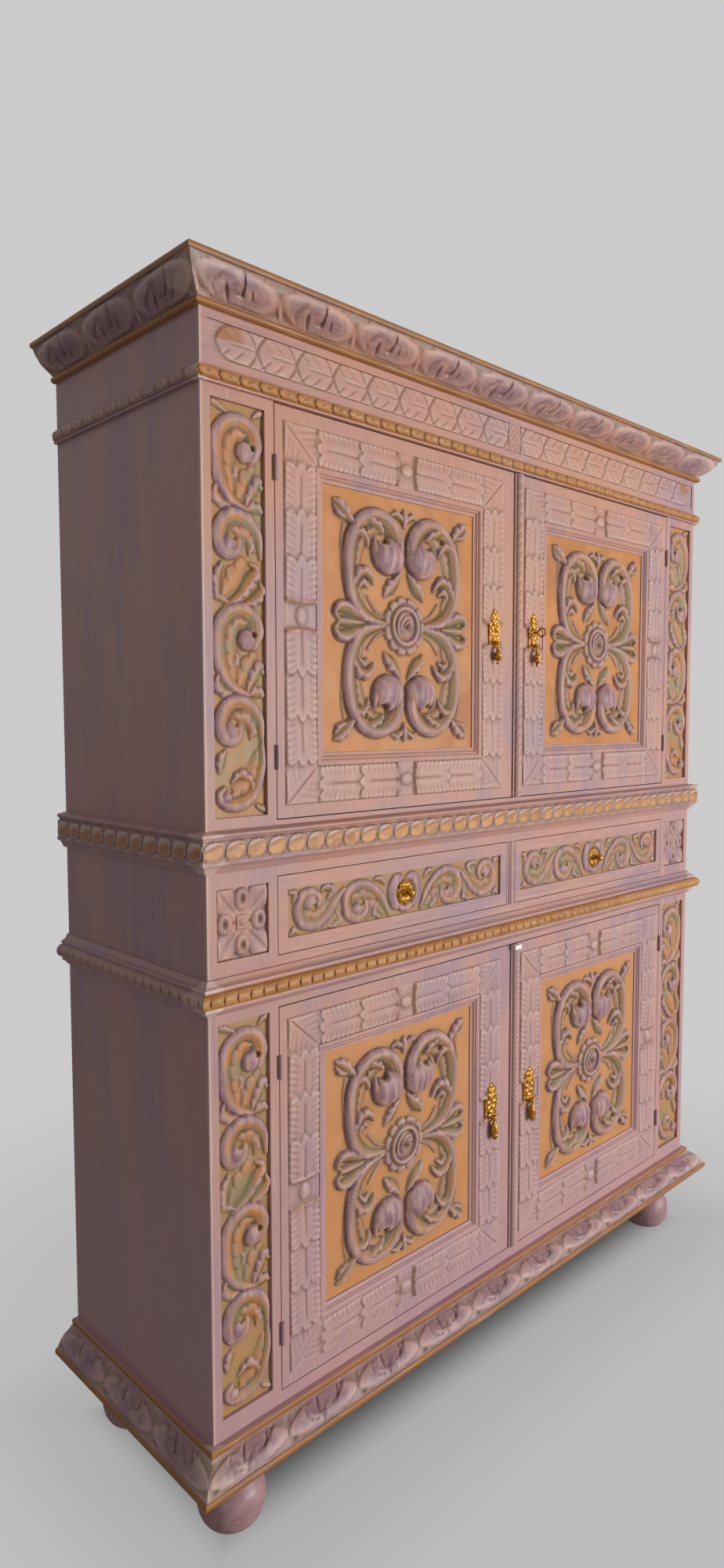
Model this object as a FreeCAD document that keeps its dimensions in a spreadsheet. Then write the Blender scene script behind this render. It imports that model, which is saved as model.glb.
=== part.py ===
import FreeCAD, Part
import math
import operator
import os
from types import SimpleNamespace

import Sketcher
from FreeCAD import Placement, Rotation, Vector

# Carved two-part cabinet: a lower cupboard with two doors and two drawers on bun feet, and an
# upper cupboard with two doors, a frieze and a cornice. The front faces -Y and +Z is up. The origin
# is on the floor under the middle of the outside box. All lengths are millimetres.

# Driving dimensions, one cell of the sheet for each.
driving_sizes = {
    # case
    "case_width": 1504,
    "case_depth": 452,
    "face_thickness": 28,
    "side_thickness": 24,
    "board_thickness": 20,
    "back_thickness": 12,
    "post_width": 137,
    "field_margin": 18,
    "field_foot_margin": 32,
    "field_depth": 7,
    # heights up the front
    "foot_height": 141,
    "base_height": 55,
    "sill_height": 21,
    "middle_rail_height": 84,
    "drawer_opening_height": 131,
    "top_rail_height": 17,
    "waist_height": 65,
    "lower_top_thickness": 28,
    "upper_sill_show": 8,
    "head_rail_height": 26,
    "frieze_height": 80,
    "frieze_border": 13,
    "frieze_field_depth": 4,
    "cornice_height": 60,
    # mouldings
    "base_reach": 48,
    "bead_rise": 12,
    "bead_height": 57,
    "bead_reach": 25.5,
    "waist_reach": 30,
    "upper_bead_reach": 12,
    "cornice_reach": 48,
    # feet and plinth
    "plinth_thickness": 28,
    "foot_block_width": 82,
    "front_foot_block_depth": 52,
    "back_foot_block_depth": 78,
    "foot_radius": 66,
    "foot_dowel_radius": 16,
    "foot_dowel_length": 34,
    "dowel_play": 0.2,
    "seat_dowel_radius": 7,
    "seat_dowel_sink": 18,
    "seat_dowel_setback": 88,
    # shelves
    "shelf_setback": 24,
    "shelf_play": 0.3,
    "cleat_size": 20,
    "lower_shelf_rise": 330,
    "upper_shelf_pitch": 225,
    # doors
    "door_height": 652,
    "door_gap": 2,
    "hinge_stile_width": 84,
    "meeting_stile_width": 100,
    "door_rail_width": 83,
    "tenon_length": 40,
    "tenon_thickness": 10,
    "tenon_width": 52,
    "panel_thickness": 10,
    "panel_recess": 8,
    "groove_depth": 8,
    "panel_play": 1,
    "trim_width": 20,
    "trim_proud": 2,
    "closing_strip_width": 27,
    "closing_strip_reach": 9,
    # hinges
    "hinge_height": 40,
    "hinge_inset": 79,
    "leaf_thickness": 1.6,
    "leaf_depth": 24,
    "leaf_space": 0.4,
    "knuckle_radius": 3,
    "knuckle_gap": 0.3,
    "knuckle_clear": 0.4,
    "pin_radius": 1.5,
    "pin_clearance": 0.06,
    # keyhole plates and drop pulls
    "plate_from_edge": 64,
    "plate_thickness": 5,
    "upper_plate_width": 30,
    "upper_plate_height": 78,
    "upper_plate_rise": 310,
    "lower_plate_width": 36,
    "lower_plate_height": 81,
    "lower_plate_rise": 307,
    "keyhole_radius": 2.8,
    "keyhole_slot_width": 3.4,
    "keyhole_slot_height": 11,
    "ear_thickness": 2.4,
    "ear_radius": 3.2,
    "ear_space": 6.6,
    "pivot_reach": 8.5,
    "pivot_radius": 1.2,
    "drop_clearance": 0.3,
    "drop_radius": 7,
    "upper_drop_length": 43,
    "lower_drop_length": 47,
    # locks, key and slide bolts
    "lock_width": 88,
    "lock_below": 20,
    "lock_above": 32,
    "lock_depth": 12,
    "lock_wall": 1.5,
    "lock_bolt_length": 52,
    "lock_bolt_height": 12,
    "lock_bolt_thickness": 6,
    "lock_bolt_rise": 10.5,
    "bolt_play": 0.3,
    "key_radius": 2.4,
    "key_reach": 20,
    "key_bow_radius": 8.5,
    "key_bow_wire": 1.8,
    "key_bit_length": 9.5,
    "key_bit_width": 2.4,
    "key_bit_depth": 7,
    "key_end_clear": 1,
    "slide_bolt_width": 9,
    "slide_bolt_thickness": 6,
    "slide_bolt_length": 96,
    "slide_bolt_setback": 24,
    "slide_bolt_drop": 2,
    "slide_guide_height": 14,
    "slide_guide_wall": 3,
    "slide_guide_pitch": 40,
    "slide_guide_drop": 14,
    "slide_knob_radius": 4,
    "slide_knob_reach": 9,
    "catch_width": 20,
    "catch_height": 9,
    "catch_reach": 5,
    # drawers
    "drawer_gap": 1.5,
    "drawer_front_thickness": 22,
    "drawer_border_side": 20,
    "drawer_border_edge": 24,
    "drawer_field_depth": 5,
    "drawer_back_space": 38,
    "drawer_side_thickness": 12,
    "drawer_side_height": 100,
    "drawer_side_rise": 8,
    "drawer_side_inset": 4,
    "drawer_bottom_thickness": 8,
    "drawer_bottom_rise": 6,
    "divider_width": 25,
    "divider_strip_width": 13,
    "divider_strip_reach": 5,
    "runner_cover": 26,
    "running_gap": 0.3,
    "guide_height": 25,
    "dust_board_thickness": 16,
    "knob_plate_radius": 26,
    "knob_plate_thickness": 2.5,
    "knob_radius": 11,
    "knob_reach": 24,
    "patera_radius": 44,
    "patera_reach": 10,
    # one overrun for every cut
    "cut_overrun": 3,
}

doc = FreeCAD.newDocument("two_part_cabinet")
dims = doc.addObject("Spreadsheet::Sheet", "dims")


class Size:
    """A length that knows its number and the sheet expression it comes from."""

    def __init__(self, text, number):
        self.text = text
        self.number = number

    def __add__(self, other):
        return joined(self, "+", other)

    def __radd__(self, other):
        return joined(other, "+", self)

    def __sub__(self, other):
        return joined(self, "-", other)

    def __rsub__(self, other):
        return joined(other, "-", self)

    def __mul__(self, other):
        return joined(self, "*", other)

    def __rmul__(self, other):
        return joined(other, "*", self)

    def __truediv__(self, other):
        return joined(self, "/", other)

    def __neg__(self):
        return joined(0, "-", self)


arithmetic = {"+": operator.add, "-": operator.sub, "*": operator.mul, "/": operator.truediv}


def sized(item):
    return item if isinstance(item, Size) else Size(repr(item), item)


def joined(left, sign, right):
    left, right = sized(left), sized(right)
    return Size(f"({left.text} {sign} {right.text})", arithmetic[sign](left.number, right.number))


def chord(across, along):
    across, along = sized(across), sized(along)
    return Size(f"sqrt({across.text}^2 + {along.text}^2)", math.hypot(across.number, along.number))


d = SimpleNamespace()
for row, (alias, length) in enumerate(driving_sizes.items(), start=1):
    dims.set(f"A{row}", alias)
    dims.set(f"B{row}", str(length))
    dims.setAlias(f"B{row}", alias)
    setattr(d, alias, Size(f"dims.{alias}", length))
doc.recompute()

# Planes and levels that several pieces share.
half_width = d.case_width / 2
front_y = (d.cornice_reach - d.case_depth) / 2
back_y = front_y + d.case_depth
inner_y = front_y + d.face_thickness
back_inner_y = back_y - d.back_thickness
side_inner_x = -half_width + d.side_thickness
post_edge_x = -half_width + d.post_width
opening_width = d.case_width - 2 * d.post_width
inside_width = d.case_width - 2 * d.side_thickness
inside_depth = back_inner_y - inner_y

floor_z = d.foot_height + d.base_height
lower_door_z = floor_z + d.sill_height + d.door_gap
middle_rail_z = lower_door_z + d.door_height + d.door_gap
bead_z = middle_rail_z + d.bead_rise
drawer_z = middle_rail_z + d.middle_rail_height
top_rail_z = drawer_z + d.drawer_opening_height
deck_z = top_rail_z + d.top_rail_height
seat_z = deck_z + d.lower_top_thickness
waist_top_z = deck_z + d.waist_height
upper_floor_z = waist_top_z + d.upper_sill_show
upper_door_z = upper_floor_z + d.door_gap
head_rail_z = upper_door_z + d.door_height + d.door_gap
frieze_z = head_rail_z + d.head_rail_height
cornice_z = frieze_z + d.frieze_height

door_width = (opening_width - 3 * d.door_gap) / 2
hinge_edge_x = post_edge_x + d.door_gap
meeting_edge_x = hinge_edge_x + door_width
hinge_axis_x = post_edge_x + d.door_gap / 2
hinge_axis_y = front_y - d.knuckle_radius - d.knuckle_clear
door_floors = {"upper": upper_door_z, "lower": lower_door_z}
hands = {"left": -1, "right": 1}

to_front = Rotation(Vector(1, 0, 0), 90)
along_x = Rotation(Vector(0, 1, 0), 90)

sub_parts = []
carved_cuts = []


def bind(piece, name, length):
    piece.setExpression(name, sized(length).text)


def place(piece, x, y, z, rotation=None):
    spot = [sized(item) for item in (x, y, z)]
    piece.Placement = Placement(Vector(*[item.number for item in spot]), rotation or Rotation())
    for axis, item in zip("xyz", spot):
        piece.setExpression(f"Placement.Base.{axis}", item.text)
    return piece


def box(label, x, y, z, dx, dy, dz):
    piece = doc.addObject("Part::Box", label)
    for name, length in zip(("Length", "Width", "Height"), (dx, dy, dz)):
        bind(piece, name, length)
    return place(piece, x, y, z)


def handed(hand, x, dx=0):
    return x if hand < 0 else -(x + dx)


def hand_box(label, hand, x, y, z, dx, dy, dz):
    return box(label, handed(hand, x, dx), y, z, dx, dy, dz)


def cylinder(label, x, y, z, radius, height, rotation=None):
    piece = doc.addObject("Part::Cylinder", label)
    bind(piece, "Radius", radius)
    bind(piece, "Height", height)
    return place(piece, x, y, z, rotation)


def cylinder_x(label, x, y, z, radius, length):
    return cylinder(label, x - length / 2, y, z, radius, length, along_x)


def fuse(label, pieces):
    piece = doc.addObject("Part::MultiFuse", label)
    piece.Shapes = pieces
    return piece


def cut(label, base, tools):
    piece = doc.addObject("Part::Cut", label)
    piece.Base = base
    piece.Tool = tools[0] if len(tools) == 1 else fuse(f"{label}_tools", tools)
    return piece


def group(label, pieces):
    piece = doc.addObject("Part::Compound", label)
    piece.Links = pieces
    return piece


def keep(piece):
    sub_parts.append(piece)
    return piece


def sketch_on(body, role, name):
    plane = next(item for item in body.Origin.OriginFeatures if item.Role == role)
    sketch = body.newObject("Sketcher::SketchObject", name)
    sketch.AttachmentSupport = [(plane, "")]
    sketch.MapMode = "FlatFace"
    return sketch


# An outline is a closed list of points. A point (x, y) is reached along a straight line, and a
# point (x, y, turn, bulge) along an arc that turns left (1) or right (-1), with a radius of bulge
# times its chord.
def trace(sketch, outline):
    corners = [(sized(point[0]), sized(point[1])) for point in outline]
    first = sketch.GeometryCount
    ends = []
    for index, point in enumerate(outline):
        before, after = corners[index - 1], corners[index]
        start = Vector(before[0].number, before[1].number, 0)
        end = Vector(after[0].number, after[1].number, 0)
        if len(point) == 2:
            sketch.addGeometry(Part.LineSegment(start, end), False)
            ends.append((1, 2))
            continue
        turn, bulge = point[2:]
        span = chord(after[0] - before[0], after[1] - before[1])
        radius = bulge * span
        rise = math.sqrt(radius.number ** 2 - (span.number / 2) ** 2)
        along = (end - start) * (1 / span.number)
        centre = (start + end) * 0.5 + Vector(-along.y, along.x, 0) * (turn * rise)
        opening, closing = (start, end) if turn > 0 else (end, start)
        angles = [math.atan2(spot.y - centre.y, spot.x - centre.x) for spot in (opening, closing)]
        circle = Part.Circle(centre, Vector(0, 0, 1), radius.number)
        sketch.addGeometry(Part.ArcOfCircle(circle, *angles), False)
        ends.append((1, 2) if turn > 0 else (2, 1))
        named = sketch.addConstraint(Sketcher.Constraint("Radius", first + index, radius.number))
        bind(sketch, f"Constraints[{named}]", radius)
    for index in range(len(outline)):
        entry = (first + index, ends[index][0])
        previous = (index - 1) % len(outline)
        sketch.addConstraint(Sketcher.Constraint("Coincident", first + previous, ends[previous][1], *entry))
        spot = corners[index - 1]
        for kind, item, axis in (("DistanceX", spot[0], -2), ("DistanceY", spot[1], -1)):
            if item.text == "0":
                sketch.addConstraint(Sketcher.Constraint("PointOnObject", *entry, axis))
                continue
            named = sketch.addConstraint(Sketcher.Constraint(kind, -1, 1, *entry, item.number))
            bind(sketch, f"Constraints[{named}]", item)


def scaled(shares, across, along):
    return [(share[0] * across if share[0] else 0, share[1] * along if share[1] else 0, *share[2:])
            for share in shares]


def prism(label, role, outlines, length):
    body = doc.addObject("PartDesign::Body", label)
    sketch = sketch_on(body, role, f"{label}_outline")
    for outline in outlines:
        trace(sketch, outline)
    pad = body.newObject("PartDesign::Pad", f"{label}_pad")
    pad.Profile = sketch
    bind(pad, "Length", length)
    return body


def turned(label, outline):
    body = doc.addObject("PartDesign::Body", label)
    sketch = sketch_on(body, "XZ_Plane", f"{label}_outline")
    trace(sketch, outline)
    turning = body.newObject("PartDesign::Revolution", f"{label}_turning")
    turning.Profile = sketch
    turning.ReferenceAxis = (sketch, ["V_Axis"])
    turning.Angle = 360
    return body


# A straight moulding: its section stands on the YZ plane and runs along +X, and each mitred end is
# sawn at 45 degrees, outwards round a corner or inwards round a panel.
def moulding(label, section, depth, length, mitres, inward=False):
    body = prism(label, "YZ_Plane", [section], length)
    over = d.cut_overrun
    wide = depth + over
    saw = sketch_on(body, "XY_Plane", f"{label}_mitres")
    if mitres[0]:
        far = wide if inward else -over
        trace(saw, [(-over, -over), (wide, far), (-over, wide)])
    if mitres[1]:
        far = wide if inward else -over
        trace(saw, [(length + over, -over), (length + over, wide), (length - wide, far)])
    sawn = body.newObject("PartDesign::Pocket", f"{label}_sawn")
    sawn.Profile = saw
    sawn.Type = "ThroughAll"
    sawn.Reversed = True
    carved_cuts.append((body, sawn))
    return body


# A moulding on the front and both sides of the case, mitred at the front corners. The section's
# depth is its reach past the case and how far it stands back over the case.
def case_moulding(label, section, reach, backset, z):
    depth = reach + backset
    front = moulding(f"{label}_front", section, depth, d.case_width + 2 * reach, (True, True))
    place(front, half_width + reach, front_y + backset, z, Rotation(Vector(0, 0, 1), 180))
    left = moulding(f"{label}_left", section, depth, d.case_depth + reach, (True, False))
    place(left, -half_width + backset, front_y - reach, z, Rotation(Vector(0, 0, 1), 90))
    right = moulding(f"{label}_right", section, depth, d.case_depth + reach, (False, True))
    place(right, half_width - backset, back_y, z, Rotation(Vector(0, 0, 1), -90))
    return keep(group(label, [front, left, right]))


# Turned bun feet, each with a neck ring and a dowel that enters its foot block.
foot_shares = [(0, 0), (0.6, 0), (0.62, 0.7, 1, 0.61), (0.54, 0.73), (0.62, 0.75), (0.62, 0.88, 1, 0.6),
               (0.54, 0.9), (0.54, 1)]
foot_inset = d.plinth_thickness + d.foot_block_width / 2
foot_blocks = {"front": (front_y + d.plinth_thickness, d.front_foot_block_depth),
               "back": (back_y - d.plinth_thickness - d.back_foot_block_depth, d.back_foot_block_depth)}


def bun_feet():
    outline = scaled(foot_shares, d.foot_radius, d.foot_height)
    dowel_top = d.foot_height + d.foot_dowel_length
    outline += [(d.foot_dowel_radius, d.foot_height), (d.foot_dowel_radius, dowel_top), (0, dowel_top)]
    feet = []
    for name, hand in hands.items():
        for end, (y, depth) in foot_blocks.items():
            foot = turned(f"foot_{end}_{name}", outline)
            feet.append(place(foot, handed(hand, -half_width + foot_inset), y + depth / 2, 0))
    return keep(group("bun_feet", feet))


# Plinth rails with a drilled block in each corner for the feet.
def plinth_frame():
    wall = d.plinth_thickness
    z, height = d.foot_height, d.base_height
    pieces = [box("plinth_front", -half_width, front_y, z, d.case_width, wall, height),
              box("plinth_back", -half_width, back_y - wall, z, d.case_width, wall, height)]
    for name, hand in hands.items():
        pieces.append(hand_box(f"plinth_{name}", hand, -half_width, front_y + wall, z,
                               wall, d.case_depth - 2 * wall, height))
        for end, (y, depth) in foot_blocks.items():
            label = f"foot_block_{end}_{name}"
            blank = hand_box(f"{label}_blank", hand, -half_width + wall, y, z, d.foot_block_width, depth,
                             height)
            hole = cylinder(f"{label}_hole", handed(hand, -half_width + foot_inset), y + depth / 2,
                            z - d.cut_overrun, d.foot_dowel_radius + d.dowel_play,
                            d.foot_dowel_length + d.dowel_play + d.cut_overrun)
            pieces.append(cut(label, blank, [hole]))
    return keep(group("plinth_frame", pieces))


base_shares = [(0, 0), (0.925, 0), (0.925, 0.23, 1, 0.6), (0.88, 0.25), (0.27, 0.8, 1, 0.9), (0.2, 0.83),
               (0.2, 1, 1, 0.56), (0, 1)]
bead_shares = [(0, 0), (0.3, 0), (0.36, 0.12), (0.6, 0.16), (0.6, 0.3), (0.6, 0.78, 1, 0.52), (0.4, 0.78),
               (0.4, 0.84), (0.14, 1, -1, 0.72), (0, 1)]
waist_shares = [(0, 0), (0.3, 0), (0.3, 0.1), (0.58, 0.14), (0.58, 0.2), (0.58, 0.8, 1, 0.55), (0.62, 0.8),
                (0.62, 0.87), (0.2, 0.97, -1, 0.72), (0.2, 1), (0, 1)]
upper_bead_shares = [(0, 0), (0.6, 0), (0.6, 0.12), (0.5, 0.16), (0.5, 0.9, 1, 0.56), (0, 1)]
cornice_shares = [(0.22, 0), (0.22, 0.18, 1, 0.56), (0.16, 0.22), (0.44, 0.52, -1, 0.72), (0.86, 0.8, 1, 0.8),
                  (0.88, 0.84), (1, 0.84), (1, 1)]


def case_mouldings():
    case_moulding("base_moulding", scaled(base_shares, d.base_reach, d.base_height), d.base_reach, 0,
                  d.foot_height)
    case_moulding("lower_bead_moulding", scaled(bead_shares, d.bead_reach, d.bead_height), d.bead_reach, 0,
                  bead_z)
    case_moulding("gadroon_moulding", scaled(waist_shares, d.waist_reach, d.waist_height), d.waist_reach, 0,
                  deck_z)
    case_moulding("upper_bead_moulding", scaled(upper_bead_shares, d.upper_bead_reach, d.head_rail_height),
                  d.upper_bead_reach, 0, head_rail_z)
    # The cornice stands on the frieze and sides, so its section reaches back over the face.
    back = d.face_thickness
    section = [(back + point[0], *point[1:])
               for point in scaled(cornice_shares, d.cornice_reach, d.cornice_height)]
    case_moulding("cornice_moulding", [(0, 0), *section, (0, d.cornice_height)], d.cornice_reach, back,
                  cornice_z)


# Hinge places along a door, as heights above the door's lower edge.
hinge_rises = {"low": d.hinge_inset, "high": d.door_height - d.hinge_inset - d.hinge_height}
leaf_recess = d.leaf_thickness - (d.door_gap - d.leaf_space) / 2


def leaf_recesses(label, level, hand, x):
    return [hand_box(f"{label}_{name}_recess", hand, x, front_y - d.cut_overrun, door_floors[level] + rise,
                     leaf_recess, d.leaf_depth + d.cut_overrun, d.hinge_height)
            for name, rise in hinge_rises.items()]


# Front posts with a sunk field for the carved pilaster, and a sunk square beside the drawers.
def posts(level, z, height, fields):
    pieces = []
    for name, hand in hands.items():
        label = f"{level}_post_{name}"
        blank = hand_box(f"{label}_blank", hand, -half_width, front_y, z, d.post_width, d.face_thickness,
                         height)
        sinks = [hand_box(f"{label}_field_{number}", hand, -half_width + d.field_margin,
                          front_y - d.cut_overrun,
                          low, d.post_width - 2 * d.field_margin, d.field_depth + d.cut_overrun, high - low)
                 for number, (low, high) in enumerate(fields)]
        sinks += leaf_recesses(label, level, hand, post_edge_x - leaf_recess)
        pieces.append(cut(label, blank, sinks))
    return keep(group(f"{level}_posts", pieces))


drawer_middle_z = drawer_z + d.drawer_opening_height / 2
patera_shares = [(0, 0), (1, 0), (1, 0.25), (0.8, 0.55, 1, 0.75), (0.72, 0.4), (0.34, 0.72, 1, 0.75),
                 (0.3, 0.62), (0.08, 1, 1, 0.75), (0, 1)]


# Carved round rosettes planted in the sunk squares of the lower posts.
def paterae():
    outline = scaled(patera_shares, d.patera_radius, d.patera_reach)
    bosses = [place(turned(f"patera_{name}", outline), handed(hand, -half_width + d.post_width / 2),
                    front_y + d.field_depth, drawer_middle_z, to_front) for name, hand in hands.items()]
    return keep(group("paterae", bosses))


def rail(label, z, height):
    return box(label, post_edge_x, front_y, z, opening_width, d.face_thickness, height)


def shelf(label, z):
    setback = inner_y + d.shelf_setback
    return box(label, side_inner_x + d.shelf_play, setback, z, inside_width - 2 * d.shelf_play,
               back_inner_y - d.shelf_play - setback, d.board_thickness)


def cleats(label, z):
    setback = inner_y + d.shelf_setback + d.cleat_size
    return [hand_box(f"{label}_{name}", hand, side_inner_x, setback, z - d.cleat_size,
                     d.cleat_size, back_inner_y - setback, d.cleat_size) for name, hand in hands.items()]


def side_pair(label, z, height):
    return [hand_box(f"{label}_{name}", hand, -half_width, inner_y, z, d.side_thickness, back_y - inner_y,
                     height)
            for name, hand in hands.items()]


# Locating dowels stand in the lower top and enter the upper sides.
dowel_spots = [(name, hand, end, y) for name, hand in hands.items()
               for end, y in (("front", inner_y + d.seat_dowel_setback),
                              ("back", back_y - d.seat_dowel_setback))]


def dowel_at(label, hand, y, play):
    return cylinder(label, handed(hand, -half_width + d.side_thickness / 2), y,
                    seat_z - d.seat_dowel_sink - play,
                    d.seat_dowel_radius + play, 2 * (d.seat_dowel_sink + play))


def dowel_holes(label):
    return [dowel_at(f"{label}_{end}_{name}", hand, y, d.dowel_play) for name, hand, end, y in dowel_spots]


lower_shelf_z = floor_z + d.lower_shelf_rise
upper_shelf_levels = [upper_floor_z + d.upper_shelf_pitch * step for step in (1, 2)]


def lower_case():
    inside_x = side_inner_x
    keep(box("lower_floor", inside_x, inner_y, floor_z, inside_width, inside_depth, d.board_thickness))
    keep(group("lower_sides", side_pair("lower_side", floor_z, deck_z - floor_z)))
    keep(box("lower_back", inside_x, back_inner_y, floor_z, inside_width, d.back_thickness, deck_z - floor_z))
    fields = [(floor_z + d.field_foot_margin, bead_z - d.field_margin),
              (drawer_z + d.field_margin / 2, top_rail_z - d.field_margin / 2)]
    posts("lower", floor_z, deck_z - floor_z, fields)
    keep(group("lower_rails", [rail("sill_rail", floor_z, d.sill_height),
                               rail("middle_rail", middle_rail_z, d.middle_rail_height),
                               rail("top_rail", top_rail_z, d.top_rail_height)]))
    keep(box("dust_board", inside_x, inner_y, drawer_z - d.dust_board_thickness, inside_width, inside_depth,
             d.dust_board_thickness))
    blank = box("lower_top_blank", -half_width, front_y, deck_z, d.case_width, d.case_depth,
                d.lower_top_thickness)
    keep(cut("lower_top", blank, dowel_holes("lower_top_hole")))
    keep(shelf("lower_shelf", lower_shelf_z))


def upper_case():
    inside_x = side_inner_x
    sides = group("upper_side_blanks", side_pair("upper_side", seat_z, cornice_z - seat_z))
    keep(cut("upper_sides", sides, dowel_holes("upper_side_hole")))
    keep(box("upper_floor", inside_x, inner_y, upper_floor_z - d.board_thickness, inside_width, inside_depth,
             d.board_thickness))
    keep(box("upper_back", inside_x, back_inner_y, seat_z, inside_width, d.back_thickness,
             cornice_z - seat_z))
    posts("upper", seat_z, frieze_z - seat_z, [(waist_top_z + d.field_margin, head_rail_z - d.field_margin)])
    keep(group("upper_rails", [rail("upper_sill", seat_z, upper_floor_z - seat_z),
                               rail("head_rail", head_rail_z, d.head_rail_height)]))
    keep(group("upper_shelves", [shelf(f"upper_shelf_{number}", z)
                                 for number, z in enumerate(upper_shelf_levels)]))
    keep(box("upper_top", inside_x, inner_y, cornice_z - d.board_thickness, inside_width, inside_depth,
             d.board_thickness))
    board = box("frieze_blank", -half_width, front_y, frieze_z, d.case_width, d.face_thickness,
                d.frieze_height)
    field = box("frieze_field", -half_width + d.frieze_border, front_y - d.cut_overrun,
                frieze_z + d.frieze_border,
                d.case_width - 2 * d.frieze_border, d.frieze_field_depth + d.cut_overrun,
                d.frieze_height - 2 * d.frieze_border)
    keep(cut("frieze", board, [field]))
    dowels = [dowel_at(f"dowel_{end}_{name}", hand, y, 0) for name, hand, end, y in dowel_spots]
    keep(group("locating_dowels", dowels))


def shelf_cleats():
    pieces = cleats("lower_cleat", lower_shelf_z)
    for number, z in enumerate(upper_shelf_levels):
        pieces += cleats(f"upper_cleat_{number}", z)
    return keep(group("shelf_cleats", pieces))


# One hinge leaf with its knuckles. The case leaf has the outer two of three, the door leaf the middle.
def hinge_leaf(label, hand, z, on_door):
    third = d.hinge_height / 3
    knuckles = (1,) if on_door else (0, 2)
    x = hinge_axis_x + d.leaf_space / 2 if on_door else hinge_axis_x - d.leaf_space / 2 - d.leaf_thickness
    tab_y = hinge_axis_y + (d.knuckle_radius + d.pin_radius) / 2
    pieces = [hand_box(f"{label}_plate", hand, x, front_y, z, d.leaf_thickness, d.leaf_depth, d.hinge_height)]
    for number in knuckles:
        low = z + number * third + d.knuckle_gap / 2
        pieces.append(cylinder(f"{label}_knuckle_{number}", handed(hand, hinge_axis_x), hinge_axis_y, low,
                               d.knuckle_radius, third - d.knuckle_gap))
        pieces.append(hand_box(f"{label}_tab_{number}", hand, x, tab_y, low, d.leaf_thickness,
                               front_y - tab_y,
                               third - d.knuckle_gap))
    bore = d.pin_radius + d.pin_clearance if on_door else d.pin_radius
    hole = cylinder(f"{label}_bore", handed(hand, hinge_axis_x), hinge_axis_y, z - d.cut_overrun, bore,
                    d.hinge_height + 2 * d.cut_overrun)
    return cut(label, fuse(f"{label}_blank", pieces), [hole])


def case_hinges():
    pieces = []
    for level, floor in door_floors.items():
        for name, hand in hands.items():
            for end, rise in hinge_rises.items():
                label = f"case_hinge_{level}_{name}_{end}"
                pieces.append(hinge_leaf(label, hand, floor + rise, False))
                pieces.append(cylinder(f"{label}_pin", handed(hand, hinge_axis_x), hinge_axis_y, floor + rise,
                                       d.pin_radius, d.hinge_height))
    return keep(group("case_hinges", pieces))


plate_half_shares = [(0, 0), (0.3, 0.07, 1, 0.62), (0.42, 0.26, 1, 0.62), (1, 0.46, 1, 0.7),
                     (0.52, 0.66, 1, 0.62), (0.66, 0.84, 1, 0.62), (0.24, 0.92, 1, 0.66), (0, 1, 1, 0.66)]
upper_drop_shares = [(0, -1), (0.4, -0.9, 1, 0.66), (0.34, -0.84), (1, -0.62, 1, 0.66), (0.4, -0.38, 1, 0.8),
                     (0.62, -0.33), (0.62, -0.26), (0.28, -0.22), (0.28, 0), (0, 0)]
lower_drop_shares = [(0, -1), (1, -0.72, 1, 0.72), (0.3, -0.16, 1, 1.4), (0.3, 0), (0, 0)]
trim_shares = [(0, 0), (1, 0), (1, 0.24), (0.62, 0.62, -1, 0.75), (0.5, 0.62), (0.12, 1, 1, 0.72), (0, 1)]
plate_styles = {
    "upper": (d.upper_plate_width, d.upper_plate_height, d.upper_plate_rise, d.upper_drop_length,
              upper_drop_shares),
    "lower": (d.lower_plate_width, d.lower_plate_height, d.lower_plate_rise, d.lower_drop_length,
              lower_drop_shares),
}
pivot_rise_share = 0.13
keyhole_rise_share = 0.48
plate_x = meeting_edge_x - d.plate_from_edge
plate_front_y = front_y - d.plate_thickness
pivot_y = plate_front_y - d.pivot_reach


# The right half runs up from the foot of the plate and its mirror image runs down again.
def plate_outline(width, height):
    points = [(share[0] * width / 2, share[1] * height) for share in plate_half_shares]
    arcs = [share[2:] for share in plate_half_shares[1:]]
    right = [(width / 2 + x, z, *arc) for (x, z), arc in zip(points[1:], arcs)]
    left = [(width / 2 - x, z, *arc) for (x, z), arc in zip(reversed(points[:-1]), reversed(arcs))]
    return right + left


def keyhole_tools(label, hand, z, y, depth, play):
    x = handed(hand, plate_x)
    low = z - d.keyhole_slot_height
    slot = d.keyhole_slot_width + 2 * play
    return [cylinder(f"{label}_round", x, y + depth, z, d.keyhole_radius + play, depth, to_front),
            box(f"{label}_slot", x - slot / 2, y, low - play, slot, depth, d.keyhole_slot_height + play)]


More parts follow.
